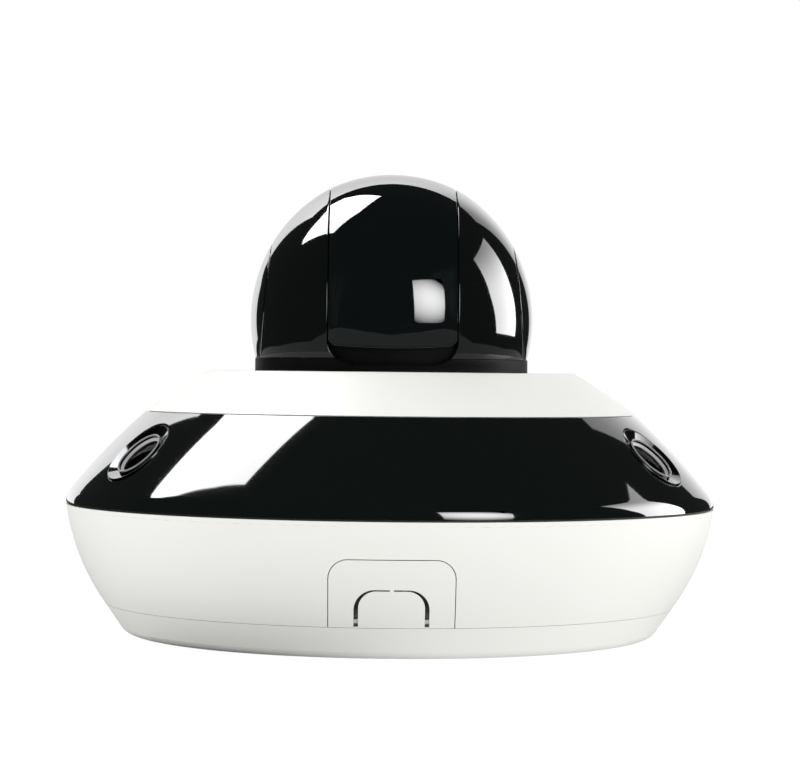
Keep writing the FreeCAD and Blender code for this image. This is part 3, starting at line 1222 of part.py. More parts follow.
def ball_shell(name, outer, half):
    """A slice of a hollow ball about the tilt axis."""
    full = sphere(f"{name}_out", outer, z="tilt_z")
    hollow = sphere(f"{name}_in", f"({outer}) - drum_wall", z="tilt_z")
    slab = block(f"{name}_slab", f"2 * ({half})", REACH, REACH, z=f"tilt_z - {REACH} / 2")
    return common(name, cut(f"{name}_hollow", full, hollow), slab)


window_shell = ball_shell("window_shell", "drum_r", "drum_half")
window_prism = padded("window_prism", slot_outline("slot_gap"), REACH)
piece("drum_window", common("drum_window", window_shell, wedge("window_low", "window_high",
                                                               "window_wedge"), window_prism))
COVER_HALF = "(drum_half - cover_gap)"
cover_shell = ball_shell("cover_shell", "cover_r", COVER_HALF)
cover_wedge = wedge("window_high - under_lap", "360 + window_low + under_lap", "cover_wedge")
piece("drum_rear_cover", common("drum_rear_cover", cover_shell, cover_wedge))

# Tilt frame: two side discs with trunnions, joined by a bridge behind the zoom camera
DISC_R = f"(sqrt((cover_r - drum_wall)^2 - {COVER_HALF}^2) - disc_gap)"
frame_parts = []
LEFT_END = "tilt_gear_x + tilt_gear_t + fit_gap"
RIGHT_END = "arm_x + arm_t + bush_flange_t + trunnion_end"
for side, axis, reach in ((-1, "-X", LEFT_END), (1, "X", RIGHT_END)):
    start = at(f"{side} * ({COVER_HALF} - disc_t)", z="tilt_z", axis=axis)
    frame_parts.append(cylinder(f"side_disc_{axis}", DISC_R, "disc_t", start))
    frame_parts.append(cylinder(f"trunnion_{axis}", "trunnion_r", f"{reach} - {COVER_HALF} + disc_t",
                                start))
frame_parts.append(block("frame_bridge", f"2 * {COVER_HALF}", "bridge_t", "bridge_h",
                         y="bridge_y + bridge_t / 2",
                         z="tilt_z - bridge_h / 2"))
piece("tilt_frame", fuse("tilt_frame", *frame_parts))

# Zoom camera on the bridge: barrel, front lens, two moving lens groups, filter and sensor board
def along(y):
    """A frame on the zoom camera's axis at a depth, local +Z to the back."""
    return at(y=y, z="tilt_z", axis="Y")


zoom_tube = cylinder("zoom_tube", "zoom_r", "zoom_front + zoom_back", along("-zoom_front"))
zoom_base = block("zoom_base", "zoom_flange", "zoom_flange_t", "zoom_flange",
                  y="zoom_back + zoom_flange_t / 2",
                  z="tilt_z - zoom_flange / 2")
ZOOM_BORE = "(zoom_r - zoom_wall)"
ZOOM_LENGTH = "(zoom_front + zoom_back + zoom_flange_t)"
zoom_hole = cylinder("zoom_hole", ZOOM_BORE, f"{ZOOM_LENGTH} - flange_web + past",
                     along("-zoom_front - past"))
sensor_hole = block("zoom_sensor_hole", "sensor_window", "2 * zoom_flange_t", "sensor_window",
                    y="zoom_back + zoom_flange_t",
                    z="tilt_z - sensor_window / 2")
piece("zoom_barrel", cut("zoom_barrel", fuse("zoom_solid", zoom_tube, zoom_base), zoom_hole, sensor_hole))
lens_blank = cylinder("front_lens_blank", f"{ZOOM_BORE} - running_gap", "front_lens_t",
                      along("-zoom_front - front_lens_out"))
lens_ball = sphere("front_lens_ball", "front_lens_arc", y="front_lens_arc - zoom_front - front_lens_out",
                   z="tilt_z")
piece("zoom_front_lens", common("zoom_front_lens", lens_blank, lens_ball))


def lens_group(name, front, length):
    """A lens in its carrier ring, one solid: the ring stands past the lens."""
    ring = tube(f"{name}_ring", f"{ZOOM_BORE} - group_gap", f"{ZOOM_BORE} - group_gap - group_wall",
                length, along(front))
    glass = cylinder(f"{name}_glass", f"{ZOOM_BORE} - group_gap - group_wall / 2", "group_lens_t",
                     along(f"({front}) + ({length} - group_lens_t) / 2"))
    return piece(name, fuse(name, ring, glass))


lens_group("zoom_group", "zoom_group_y", "zoom_group_t")
lens_group("focus_group", "focus_group_y", "focus_group_t")
piece("infrared_filter", block("infrared_filter", "filter_l", "filter_t", "filter_h", "filter_x",
                               "filter_y + filter_t / 2",
                               "tilt_z - filter_h / 2"))
piece("zoom_sensor_board", block("zoom_sensor_board", "zoom_flange",
                                 "bridge_y - zoom_back - zoom_flange_t", "zoom_flange",
                                 y="(bridge_y + zoom_back + zoom_flange_t) / 2",
                                 z="tilt_z - zoom_flange / 2"))

doc.recompute()

# Every feature has to be sound before a file is written
faults = [thing.Name for thing in doc.Objects if "Invalid" in thing.State or "Error" in thing.State]
for thing in nodes:
    if thing.Shape.isNull() or not thing.Shape.isValid() or not thing.Shape.Solids:
        faults.append(thing.Label)
if faults:
    raise RuntimeError("unsound: " + ", ".join(faults))
os.makedirs("parts", exist_ok=True)
for thing in nodes:
    thing.Shape.exportStep(f"parts/{thing.Label}.step")
    print(thing.Label, len(thing.Shape.Solids), round(thing.Shape.Volume, 1))
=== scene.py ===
# %% [markdown]
# # A dome camera in a white studio
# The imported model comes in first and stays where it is. Every piece made here is laid over it, in
# the same frame: +Z leads away from the ceiling that the camera is fastened to, and -Y is its
# front. The model's own mesh is right for what hides inside. The shells that show get finer
# surfaces, with the small rounds that a mould leaves on every edge, because those rounds are what
# catches the light.

# %% Load the fixed frame
import math
from functools import partial

import bmesh
import bpy
import numpy as np
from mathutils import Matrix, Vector
from mathutils.kdtree import KDTree


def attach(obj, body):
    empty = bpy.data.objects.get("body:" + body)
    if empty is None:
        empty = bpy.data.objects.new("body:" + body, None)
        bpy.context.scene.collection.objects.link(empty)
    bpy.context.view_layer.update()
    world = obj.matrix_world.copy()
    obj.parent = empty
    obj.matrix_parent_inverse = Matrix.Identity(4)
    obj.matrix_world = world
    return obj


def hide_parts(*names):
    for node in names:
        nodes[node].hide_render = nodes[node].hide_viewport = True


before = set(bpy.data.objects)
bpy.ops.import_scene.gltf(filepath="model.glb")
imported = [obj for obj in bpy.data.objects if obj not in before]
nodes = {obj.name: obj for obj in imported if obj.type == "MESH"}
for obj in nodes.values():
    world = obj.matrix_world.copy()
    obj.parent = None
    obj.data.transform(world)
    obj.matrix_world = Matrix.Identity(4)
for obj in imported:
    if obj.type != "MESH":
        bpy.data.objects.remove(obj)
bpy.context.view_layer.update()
MM = 0.001
MICRON = 0.000001

# %% [markdown]
# ## The camera
# A long lens from about four body widths away, level with the collar's flat top, so that the top is
# seen edge on, and half a degree to the left of the front. The place of the optical axis in the
# picture is set with the lens shift, and the picture leans by 0.0105 radians, which is 0.6 degrees.
# A tilted camera would make the collar's top show, so the shift is the right tool here.

# %% Camera
PICTURE_W, PICTURE_H = 800, 780
AXIS_X_PX, HORIZON_Y_PX = 391.2, 372.0
DISTANCE, HEIGHT = 1.0375, 0.101
LEAN, TO_THE_LEFT = 0.0105, math.radians(0.5)

view = bpy.data.cameras.new("view")
view.lens = 120
view.sensor_width = 36
view.shift_x = (PICTURE_W / 2 - AXIS_X_PX) / PICTURE_W
view.shift_y = (HORIZON_Y_PX - PICTURE_H / 2) / PICTURE_W
camera = bpy.data.objects.new("view", view)
camera.location = (-DISTANCE * math.sin(TO_THE_LEFT), -DISTANCE * math.cos(TO_THE_LEFT), HEIGHT)
camera.rotation_euler = (math.pi / 2, -LEAN, -TO_THE_LEFT)
bpy.context.scene.collection.objects.link(camera)
bpy.context.scene.camera = camera
bpy.context.scene.view_settings.view_transform = "Standard"
print("camera at", [round(v, 4) for v in camera.location])

# %% [markdown]
# ## Shader maths as Python
# The nodes of a material could be wired one by one, but a material is easier to read as a formula
# than as a list of links. `Value` wraps one socket, and its operators add the Math nodes.


# %% Values
class Value:
    """One output socket. Operators on it add Math nodes to its material."""

    def __init__(self, shader, socket):
        self.shader = shader
        self.socket = socket

    def __add__(self, other):
        return self.shader.math("ADD", self, other)

    def __sub__(self, other):
        return self.shader.math("SUBTRACT", self, other)

    def __rsub__(self, other):
        return self.shader.math("SUBTRACT", other, self)

    def __mul__(self, other):
        return self.shader.math("MULTIPLY", self, other)

    def __pow__(self, other):
        return self.shader.math("POWER", self, other)

    __radd__ = __add__
    __rmul__ = __mul__

    def over(self, edge, width):
        """0 below the edge and 1 above it, with a smooth step of that width."""
        settings = {"interpolation_type": "SMOOTHSTEP"}
        low = {"Value": self, "From Min": edge - width / 2, "From Max": edge + width / 2}
        return self.shader.node("ShaderNodeMapRange", settings, low)

# %% [markdown]
# `Shader.node` adds any other node from its type, its settings and its inputs. The methods below it
# are the few nodes that the finishes of this camera need. Patterns read Object coordinates, which
# are metres here, because every piece sits at the origin unscaled.


# %% Shaders
class Shader:
    """One material, or the world: its nodes are added by the methods."""

    def __init__(self, owner):
        self.owner = owner
        owner.use_nodes = True
        self.tree = owner.node_tree
        self.tree.nodes.clear()

    def node(self, kind, settings=None, inputs=None, output=0):
        """Add a node with its settings, then its inputs: each a Value or a plain value."""
        made = self.tree.nodes.new(kind)
        for name, value in (settings or {}).items():
            setattr(made, name, value)
        for name, value in (inputs or {}).items():
            socket = made.inputs[name]
            if isinstance(value, Value):
                self.tree.links.new(value.socket, socket)
            else:
                socket.default_value = value
        return Value(self, made.outputs[output])

    def math(self, operation, *values):
        """A Math node on Values and numbers."""
        return self.node("ShaderNodeMath", {"operation": operation}, dict(enumerate(values)))

    def place(self, scale=(1, 1, 1)):
        """Object coordinates in metres, each times its scale."""
        here = self.node("ShaderNodeTexCoord", output="Object")
        return self.node("ShaderNodeMapping", None, {"Vector": here, "Scale": scale})

    def axes(self, scale=(1, 1, 1)):
        """The three coordinates of a place, each on its own."""
        split = self.node("ShaderNodeSeparateXYZ", None, {"Vector": self.place(scale)})
        return [Value(self, socket) for socket in split.socket.node.outputs]

    def noise(self, where, grain, detail=2.0):
        """Noise whose lumps are about that many metres across, from 0 to 1."""
        inputs = {"Vector": where, "Scale": 1 / grain, "Detail": detail}
        return self.node("ShaderNodeTexNoise", None, inputs)

    def blend(self, factor, first, second):
        """Colour from the first to the second."""
        settings = {"data_type": "RGBA", "clamp_factor": True}
        return self.node("ShaderNodeMix", settings, {0: factor, 6: first, 7: second}, output=2)

    def bump(self, height, depth):
        """A normal from a height between 0 and 1 that stands for that many metres."""
        inputs = {"Height": height, "Distance": depth, "Strength": 1.0}
        return self.node("ShaderNodeBump", None, inputs)

    def surface(self, shader):
        """End the tree in this shader and give the material back."""
        world = isinstance(self.owner, bpy.types.World)
        made = self.tree.nodes.new("ShaderNodeOutputWorld" if world else "ShaderNodeOutputMaterial")
        self.tree.links.new(shader.socket, made.inputs["Surface"])
        return self.owner

# %% [markdown]
# A finish is a function that takes a shader and gives the inputs of a Principled node by name. What
# is the same all over a piece stays a plain number there. What changes over it is a Value.


# %% Finish helpers
def pick(chooser, chosen, other):
    """The first value where the chooser is 1 and the other where it is 0."""
    return chooser * chosen + (1 - chooser) * other


def finish_of(name, build):
    """A new material: build(shader) gives its Principled inputs."""
    shader = Shader(bpy.data.materials.new(name))
    inputs = build(shader)
    return shader.surface(shader.node("ShaderNodeBsdfPrincipled", None, inputs))


def grey(level):
    return (level, level, level, 1)


WHITE = grey(1)

# %% [markdown]
# ## Finishes
# The shells are moulded plastic: white with a fine spark-eroded grain, and black with a polish
# whose long waves bend the reflections a little. One flat colour with one gloss would look like
# paint on a drawing. Gloss varies with dust and handling, so noise goes into the roughness of every
# finish, at the size that such traces have.


# %% Plastics
def white_shell(s):
    where = s.place()
    cloud = s.noise(where, 60 * MM)
    grain = s.noise(where, 0.6 * MM, 3)
    return {"Base Color": s.blend(cloud, (0.815, 0.815, 0.78, 1), (0.835, 0.835, 0.80, 1)),
            "Roughness": 0.42 + cloud * 0.08, "Normal": s.bump(grain, 10 * MICRON),
            "Specular IOR Level": 0.18}


def polished_black(s, level, rough):
    """Black of that grey level and that roughness, with dust and long waves."""
    where = s.place()
    cloud = s.noise(where, 50 * MM, 3)
    wave = s.noise(where, 30 * MM)
    dust = s.noise(where, 0.9 * MM, 1).over(0.74, 0.08)
    tone = s.blend(dust * 0.10, (level * 0.8, level * 1.2, level, 1), grey(0.05))
    return {"Base Color": tone, "Roughness": rough + cloud * 0.02 + dust * 0.05,
            "Normal": s.bump(wave, 20 * MICRON), "IOR": 1.5}


def black_band(s):
    return polished_black(s, 0.004, 0.03)


def black_shell(s):
    return polished_black(s, 0.003, 0.035)


def black_inner(s):
    where = s.place()
    grain = s.noise(where, 0.5 * MM)
    return {"Base Color": s.blend(s.noise(where, 10 * MM), grey(0.0015), grey(0.003)),
            "Roughness": 0.5 + grain * 0.15, "Normal": s.bump(grain, 20 * MICRON),
            "Specular IOR Level": 0.06}


def gear_plastic(s):
    cloud = s.noise(s.place(), 4 * MM)
    return {"Base Color": s.blend(cloud, (0.72, 0.68, 0.57, 1), (0.80, 0.77, 0.67, 1)),
            "Roughness": 0.45 + cloud * 0.1}


def button_grey(s):
    cloud = s.noise(s.place(), 2 * MM)
    return {"Base Color": s.blend(cloud, grey(0.20), grey(0.25)), "Roughness": 0.5 + cloud * 0.1}


# Painted reflection: this pale grey makes the far side of the funnel show as a bright crescent.
def funnel_grey(s):
    cloud = s.noise(s.place(), 2 * MM)
    return {"Base Color": s.blend(cloud, grey(0.36), grey(0.44)), "Roughness": 0.5 + cloud * 0.1,
            "Specular IOR Level": 0.2}


def terminal_green(s):
    cloud = s.noise(s.place(), 4 * MM)
    return {"Base Color": s.blend(cloud, (0.01, 0.22, 0.07, 1), (0.02, 0.28, 0.10, 1)),
            "Roughness": 0.4 + cloud * 0.1}


def chip_black(s):
    grain = s.noise(s.place(), 0.3 * MM)
    return {"Base Color": grey(0.018), "Roughness": 0.5 + grain * 0.2,
            "Normal": s.bump(grain, 10 * MICRON)}


def rubber(s):
    where = s.place()
    cloud = s.noise(where, 10 * MM)
    return {"Base Color": s.blend(cloud, grey(0.012), grey(0.022)),
            "Roughness": 0.7 + cloud * 0.15,
            "Normal": s.bump(s.noise(where, 0.4 * MM), 20 * MICRON)}

# %% [markdown]
# The drum's window is smoked plastic, nearly black, and lets a little light through. The lens
# windows are coated, and a coating all but stops the glare of bare glass. A Glass shader would do
# for clear glass, but Principled holds the tint, the gloss and the share that passes in one place.


# %% Windows
def smoked_window(s):
    cloud = s.noise(s.place(), 50 * MM, 3)
    return {"Base Color": (0.012, 0.018, 0.019, 1), "Roughness": 0.012 + cloud * 0.02,
            "IOR": 1.5, "Transmission Weight": 0.8}


def lens_glass(s):
    """Coated glass: it hardly reflects, so its index is set far below that of bare glass."""
    cloud = s.noise(s.place(), 10 * MM)
    return {"Base Color": (0.20, 0.21, 0.23, 1), "Roughness": cloud * 0.02, "IOR": 1.04,
            "Transmission Weight": 1.0}

# %% [markdown]
# Bearing, gears, screws and bezels are turned on a lathe, which leaves rings round the axis. The
# marks are noise that is stretched sideways twenty times and stays fine along Z. A wave texture
# would give rings too, but all alike.


# %% Metals
def turned_metal(s, first, second, rough, mark, depth=4 * MICRON):
    """Bare metal between two colours, whose marks of that height run round the Z axis."""
    marks = s.noise(s.place((0.05, 0.05, 1)), mark)
    cloud = s.noise(s.place(), 20 * MM)
    return {"Base Color": s.blend(cloud, first, second), "Metallic": 1.0,
            "Roughness": rough * (0.8 + marks * 0.3 + cloud * 0.2), "Normal": s.bump(marks, depth)}


def dark_chrome(s):
    return turned_metal(s, (0.035, 0.036, 0.038, 1), (0.045, 0.046, 0.048, 1), 0.07, 0.4 * MM,
                        0.5 * MICRON)


def aluminium(s):
    return turned_metal(s, (0.70, 0.71, 0.72, 1), (0.77, 0.78, 0.79, 1), 0.34, 0.5 * MM)


def steel(s):
    return turned_metal(s, (0.52, 0.53, 0.55, 1), (0.60, 0.61, 0.62, 1), 0.25, 0.3 * MM)


def brass(s):
    return turned_metal(s, (0.72, 0.52, 0.22, 1), (0.80, 0.60, 0.28, 1), 0.25, 0.3 * MM)

# %% [markdown]
# The boards hide inside, but someone who takes the camera apart sees them. Copper tracks lie under
# a green lacquer and stand up a little, so one mask drives the colour, the gloss and the bump.

# %% Board
TRACK_PITCH = 4 * MM


def circuit_board(s):
    """Green mask over copper tracks: bands in two directions, chosen by slow noise."""
    along, across, _ = (s.math("FRACT", axis) for axis in s.axes((1 / TRACK_PITCH,) * 3))
    chooser = s.noise(s.place(), 12 * MM, 1).over(0.5, 0.02)
    bands = pick(chooser, across, along).over(0.62, 0.08)
    track = bands * s.noise(s.place(), 6 * MM).over(0.5, 0.02)
    return {"Base Color": s.blend(track, (0.006, 0.075, 0.03, 1), (0.02, 0.16, 0.06, 1)),
            "Roughness": 0.36 - track * 0.08, "Normal": s.bump(track, 30 * MICRON)}

# %% [markdown]
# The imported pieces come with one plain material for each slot. Each is exchanged for the finish of
# that name, so a new part with the same slots would be dressed in the same way.

# %% Exchange the plain materials
builders = (white_shell, black_band, black_shell, smoked_window, lens_glass, dark_chrome,
            black_inner, aluminium, steel, gear_plastic, brass, rubber, circuit_board,
            terminal_green, chip_black, button_grey)
finishes = {build.__name__: finish_of(build.__name__, build) for build in builders}
for node in nodes.values():
    for index, material in enumerate(node.data.materials):
        node.data.materials[index] = finishes[material.name.split(".")[0]]
print("finishes", len(finishes))

# %% [markdown]
# ## Surfaces
# A shell is made from patches, and a patch is a grid of points on the outside of the shell. Moulded
# edges have small rounds, here a quarter circle of radius $e$. Five rows of points at each open
# side of a grid leave room for that round.

# %% Grids
TURN = 2 * np.pi
EDGE = 0.25 * MM


def points_of(*axes):
    """One array of points from x, y and z, which may be rows, columns or grids."""
    return np.stack(np.broadcast_arrays(*axes), -1)


def turned_grid(profile, azimuths):
    """(r sin a, -r cos a, z) for each profile point (r, z) at each azimuth a from the front."""
    r, z = np.asarray(profile).T
    return points_of(np.outer(np.sin(azimuths), r), -np.outer(np.cos(azimuths), r), z)


def rows(length, step, low=True, high=True):
    """Shares 0..1 along a length, one per step, with five samples of the round at open ends."""
    plain = np.linspace(0, 1, max(2, round(length / step)) + 1)
    arc = (1 - np.cos(np.linspace(0, np.pi / 2, 5))) * EDGE / length
    middle = plain[(plain > arc[-1] * 1.5) & (plain < 1 - arc[-1] * 1.5)]
    return np.concatenate([arc if low else [0], middle, 1 - arc[::-1] if high else [1]])

# %% [markdown]
# Neighbouring patches share the points on their border, so equal points are welded. Each face is
# turned to look away from a point in the heart of the shell, and an edge that belongs to one face
# only is an open edge. Merge by Distance and Recalculate Outside do this by hand, but the open
# edges are needed here before the wall gets its thickness.

# %% Welded patches
WELD = 1e-7
NO_AREA = 1e-13


def crossed_diagonals(corners):
    """A normal for each face, twice as long as the face is large."""
    return np.cross(corners[:, 2] - corners[:, 0], corners[:, 3] - corners[:, 1])


def weld(patches, heart):
    """Points with normals, faces turned away from the heart, and the edges with one face only."""
    points = np.concatenate([patch.reshape(-1, 3) for patch in patches])
    keys = np.round(points / WELD).astype(np.int64)
    _, first, index = np.unique(keys, axis=0, return_index=True, return_inverse=True)
    index = index.ravel()
    quads, start = [], 0
    for patch in patches:
        grid = index[start:start + patch.shape[0] * patch.shape[1]].reshape(patch.shape[:2])
        start += grid.size
        around = [grid[:-1, :-1], grid[1:, :-1], grid[1:, 1:], grid[:-1, 1:]]
        quads.append(np.stack(around, -1).reshape(-1, 4))
    quads, points = np.concatenate(quads), points[first]
    quads = quads[np.linalg.norm(crossed_diagonals(points[quads]), axis=1) > NO_AREA]
    corners = points[quads]
    normal = crossed_diagonals(corners)
    inward = np.einsum("ij,ij->i", normal, corners.mean(1) - np.asarray(heart)) < 0
    quads[inward] = quads[inward][:, ::-1]
    normal[inward] *= -1
    normals = np.zeros_like(points)
    for column in range(4):
        np.add.at(normals, quads[:, column], normal)
    normals /= np.maximum(np.linalg.norm(normals, axis=1, keepdims=True), 1e-20)
    edges = np.concatenate([quads[:, [a, (a + 1) % 4]] for a in range(4)])
    edges = edges[edges[:, 0] != edges[:, 1]]
    label = edges.min(1).astype(np.int64) * len(points) + edges.max(1)
    _, back, count = np.unique(label, return_index=True, return_counts=True)
    return points, normals, quads, edges[back[count == 1]]

# %% [markdown]
# Every new piece ends as one closed mesh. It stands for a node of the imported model, rides on the
# body of that node and takes its slot. Edges sharper than 35 degrees stay sharp in the shading, so
# a flat face beside a round one doesn't look blown up.

# %% Closed meshes
SHARP_ANGLE = math.radians(35)


def solid(name, points, faces, body, node, slot):
    """A closed mesh with smooth faces and sharp edges, in place of a node."""
    mesh = bpy.data.meshes.new(name)
    mesh.from_pydata(points.tolist(), [], [list(dict.fromkeys(face)) for face in faces.tolist()])
    tidy = bmesh.new()
    tidy.from_mesh(mesh)
    bmesh.ops.remove_doubles(tidy, verts=tidy.verts, dist=WELD)
    loose = [edge for edge in tidy.edges if not edge.link_faces]
    bmesh.ops.delete(tidy, geom=loose, context="EDGES")
    bmesh.ops.recalc_face_normals(tidy, faces=tidy.faces)
    tidy.to_mesh(mesh)
    tidy.free()
    mesh.shade_smooth()
    mesh.set_sharp_from_angle(angle=SHARP_ANGLE)
    made = bpy.data.objects.new(name, mesh)
    mesh.materials.append(finishes[slot])
    bpy.context.scene.collection.objects.link(made)
    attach(made, body)
    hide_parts(node)
    print(f"{name}: {len(mesh.polygons)} faces for {node}")
    return made

# %% [markdown]
# A shell gets its wall from a second layer of points under the first. A point at distance $d$ from
# an open edge sinks by $e - \sqrt{e^2 - (e-d)^2}$ for $d < e$, which is the quarter circle. The
# Solidify and Bevel modifiers could do both. In the formula the round has the same size on every
# edge, whatever the length of the faces beside it.


# %% Shells
def skin(name, patches, heart, wall, body, node, slot):
    """A wall under the patches, with its open edges rounded over."""
    points, normals, quads, rim = weld(patches, heart)
    tree = KDTree(len(rim))
    for index, point in enumerate(points[rim[:, 0]]):
        tree.insert(point, index)
    tree.balance()
    distance = np.array([tree.find(point)[2] for point in points])
    sink = EDGE - np.sqrt(np.maximum(EDGE**2 - np.maximum(EDGE - distance, 0) ** 2, 0))
    outer = points - normals * sink[:, None]
    inner = points - normals * wall
    under = rim + len(points)
    walls = np.stack([rim[:, 0], rim[:, 1], under[:, 1], under[:, 0]], 1)
    faces = np.concatenate([quads, quads[:, ::-1] + len(points), walls])
    return solid(name, np.concatenate([outer, inner]), faces, body, node, slot)

# %% [markdown]
# A turned piece is a closed outline of radius and height, carried round Z. `bow` gives the arcs of
# an outline, and corners that carry the mark ROUND are softened. Blender's Spin tool turns an
# outline too, and its two ends would then need welding.

# %% Turned pieces
ROUND = 1


def bow(start, end, radius, count):
    """Points on the arc from start to end, bulging to the right of its way, without the start."""
    start, end = np.asarray(start, float), np.asarray(end, float)
    half = (end - start) / 2
    across = np.array([half[1], -half[0]]) / np.linalg.norm(half)
    centre = start + half - across * math.sqrt(radius**2 - half @ half)
    from_angle = math.atan2(*(start - centre)[::-1])
    sweep = 2 * math.asin(np.linalg.norm(half) / radius)
    angles = from_angle + np.linspace(0, sweep, count + 1)[1:]
    return centre + radius * np.stack([np.cos(angles), np.sin(angles)], 1)


def soften(outline, size):
    """A closed outline whose marked corners are rounded by a curve of that size.

    For a corner P the curve is (1-s)^2 A + 2s(1-s) P + s^2 B, with A and B on its two sides.
    """
    out = []
    for index, (r, z, *mark) in enumerate(outline):
        here = np.array([r, z])
        if not mark:
            out.append(here)
            continue
        ends = []
        for other in (outline[index - 1], outline[(index + 1) % len(outline)]):
            way = np.array(other[:2]) - here
            ends.append(here + way * min(0.45, size / np.linalg.norm(way)))
        for s in np.linspace(0, 1, 5):
            out.append((1 - s) ** 2 * ends[0] + 2 * s * (1 - s) * here + s**2 * ends[1])
    return np.array(out)


def ring(name, outline, body, node, slot, size=0.4, steps=360, place=None):
    """A closed outline of radius and height in millimetres, turned about Z and then placed."""
    grid = turned_grid(soften(outline, size) * MM, np.arange(steps) / steps * TURN)
    points = grid.reshape(-1, 3)
    points = points if place is None else place(points)
    index = np.arange(len(points)).reshape(grid.shape[:2])
    right, up = np.roll(index, -1, 0), np.roll(index, -1, 1)
    faces = np.stack([index, right, np.roll(right, -1, 1), up], -1).reshape(-1, 4)
    return solid(name, points, faces, body, node, slot)

# %% [markdown]
# ## Collar
# The white collar closes the camera above the band and leaves a round opening for the ball. It is
# one turned shell: its slope bulges by a hair, and a small arc leads over to the flat top.

# %% Collar
collar_side = bow((95, 85.3), (72, 100.4), 246, 24)
collar_brow = bow((72, 100.4), (70.2, 101), 3.6, 4)
collar_lining = bow((88.3, 87), (70.28, 98.5), 243.5, 12)[::-1]
collar_outline = [(88.3, 85), (93.5, 85), (93.5, 85.3), (95, 85.3, ROUND), *collar_side,
                  *collar_brow, (53.5, 101, ROUND), (53.5, 98.5, ROUND), *collar_lining, (88.3, 87)]
ring("collar_shell", collar_outline, "base", "collar", "white_shell")

# %% [markdown]
# ## Band
# The glossy black band is an arc of a circle in section, turned round, with three round holes. A
# Boolean modifier could cut the holes, but its odd faces would show in the gloss. So round each
# hole the grid changes from rings to a rectangle: each point is a mix of a point on the hole and a
# point on the edge of a patch, taken in azimuth and slope angle, so that all of them lie on the
# true surface.

# %% The band's surface
ARC_R, ARC_Z, ARC = -71.09 * MM, -101.85 * MM, 250 * MM
FOOT = math.atan2(55.56 * MM - ARC_Z, 123.13 * MM - ARC_R)
TOP = math.atan2(85 * MM - ARC_Z, 95 * MM - ARC_R)


def slope_point(azimuth, slope):
    """(R sin a, -R cos a, Z) with R = Rc + A cos s and Z = Zc + A sin s."""
    radius, height = ARC_R + ARC * np.cos(slope), ARC_Z + ARC * np.sin(slope)
    return points_of(radius * np.sin(azimuth), -radius * np.cos(azimuth), height)


def slope_profile(slope):
    """The same point in section: (R, Z), in a list of one."""
    return [(ARC_R + ARC * math.cos(slope), ARC_Z + ARC * math.sin(slope))]


def about_z(points, angle):
    """(x cos a - y sin a, x sin a + y cos a, z)."""
    cos, sin = math.cos(angle), math.sin(angle)
    return points @ np.array([[cos, -sin, 0], [sin, cos, 0], [0, 0, 1]]).T

# %% [markdown]
# The points of a hole solve $X = h\cos t,\ Y = h\sin t$ on the band's surface, where $X$ and $Y$
# are measured square to the lens axis. There is no closed formula for that, so the slope angle is
# corrected thirty times by what is missing in $Y$, which is far more than it needs.

# %% Lens holes
LENS_UP = math.radians(46)
LENS_AT = np.array([0, -109.72, 70.8]) * MM
HOLE_R = 14.3 * MM
BLOCK, BLOCK_POINTS = math.radians(14), 33
slopes = np.linspace(FOOT, TOP, BLOCK_POINTS)
low_azimuths = np.linspace(-BLOCK, BLOCK, BLOCK_POINTS)


def hole_points(angles, radius):
    """Azimuth and slope where the surface is that far from the lens axis, in each direction."""
    along = np.array([0, math.sin(LENS_UP), math.cos(LENS_UP)])
    slope = np.full_like(angles, (FOOT + TOP) / 2)
    for _ in range(30):
        azimuth = np.arcsin(radius * np.cos(angles) / (ARC_R + ARC * np.cos(slope)))
        offset = (slope_point(azimuth, slope) - LENS_AT) @ along
        slope = slope + (radius * np.sin(angles) - offset) / ARC
    return azimuth, slope


def hole_block(radius):
    """The patch round one hole, at the front: from the hole out to a rectangle's four sides."""
    low, high, left, right = (np.full(BLOCK_POINTS, value) for value in (FOOT, TOP, -BLOCK, BLOCK))
    sides = [(low_azimuths, low), (right, slopes), (low_azimuths[::-1], high), (left, slopes[::-1])]
    azimuth, slope = (np.concatenate([side[axis][:-1] for side in sides] + [sides[0][axis][:1]])
                      for axis in (0, 1))
    centre = math.atan2(LENS_AT[2] - ARC_Z, -LENS_AT[1] - ARC_R)
    angles = np.arctan2((slope - centre) * ARC, azimuth * -LENS_AT[1])
    hole_azimuth, hole_slope = hole_points(angles, radius)
    share = rows(8 * MM, 0.7 * MM, high=False)[:, None]
    return slope_point(hole_azimuth + (azimuth - hole_azimuth) * share,
                       hole_slope + (slope - hole_slope) * share)

# %% [markdown]
# One third of the band is a block with its hole, and the plain slope up to the next block. A lip
# runs along the foot and a short flange along the top. The third is made three times.

# %% Band
LENS_TURNS = (61.7, 181.7, 301.7)
BETWEEN_POINTS = 93
WALL = 2.4 * MM
BAND_HEART = (0, 0, 30 * MM)

lip = [(121.7, 50.25), (124.8, 50.25), (125, 50.35), *bow((125, 50.35), (123.13, 55.56), 8.4, 12)]
band_lower = np.concatenate([np.array(lip[:-1]) * MM, slope_profile(FOOT)])
band_upper = np.concatenate([slope_profile(TOP), [(88.5 * MM, 85 * MM)]])
block = hole_block(HOLE_R)
between = np.linspace(BLOCK, TURN / 3 - BLOCK, BETWEEN_POINTS)
band_patches = []
for turn in LENS_TURNS:
    middle = math.radians(turn)
    band_patches.append(about_z(block, middle))
    band_patches.append(about_z(slope_point(between[:, None], slopes[None, :]), middle))
    for azimuths in (low_azimuths, between):
        band_patches += [about_z(turned_grid(band_lower, azimuths), middle),
                         about_z(turned_grid(band_upper, azimuths), middle)]
skin("band_shell", band_patches, BAND_HEART, WALL, "base", "lens_band", "black_band")
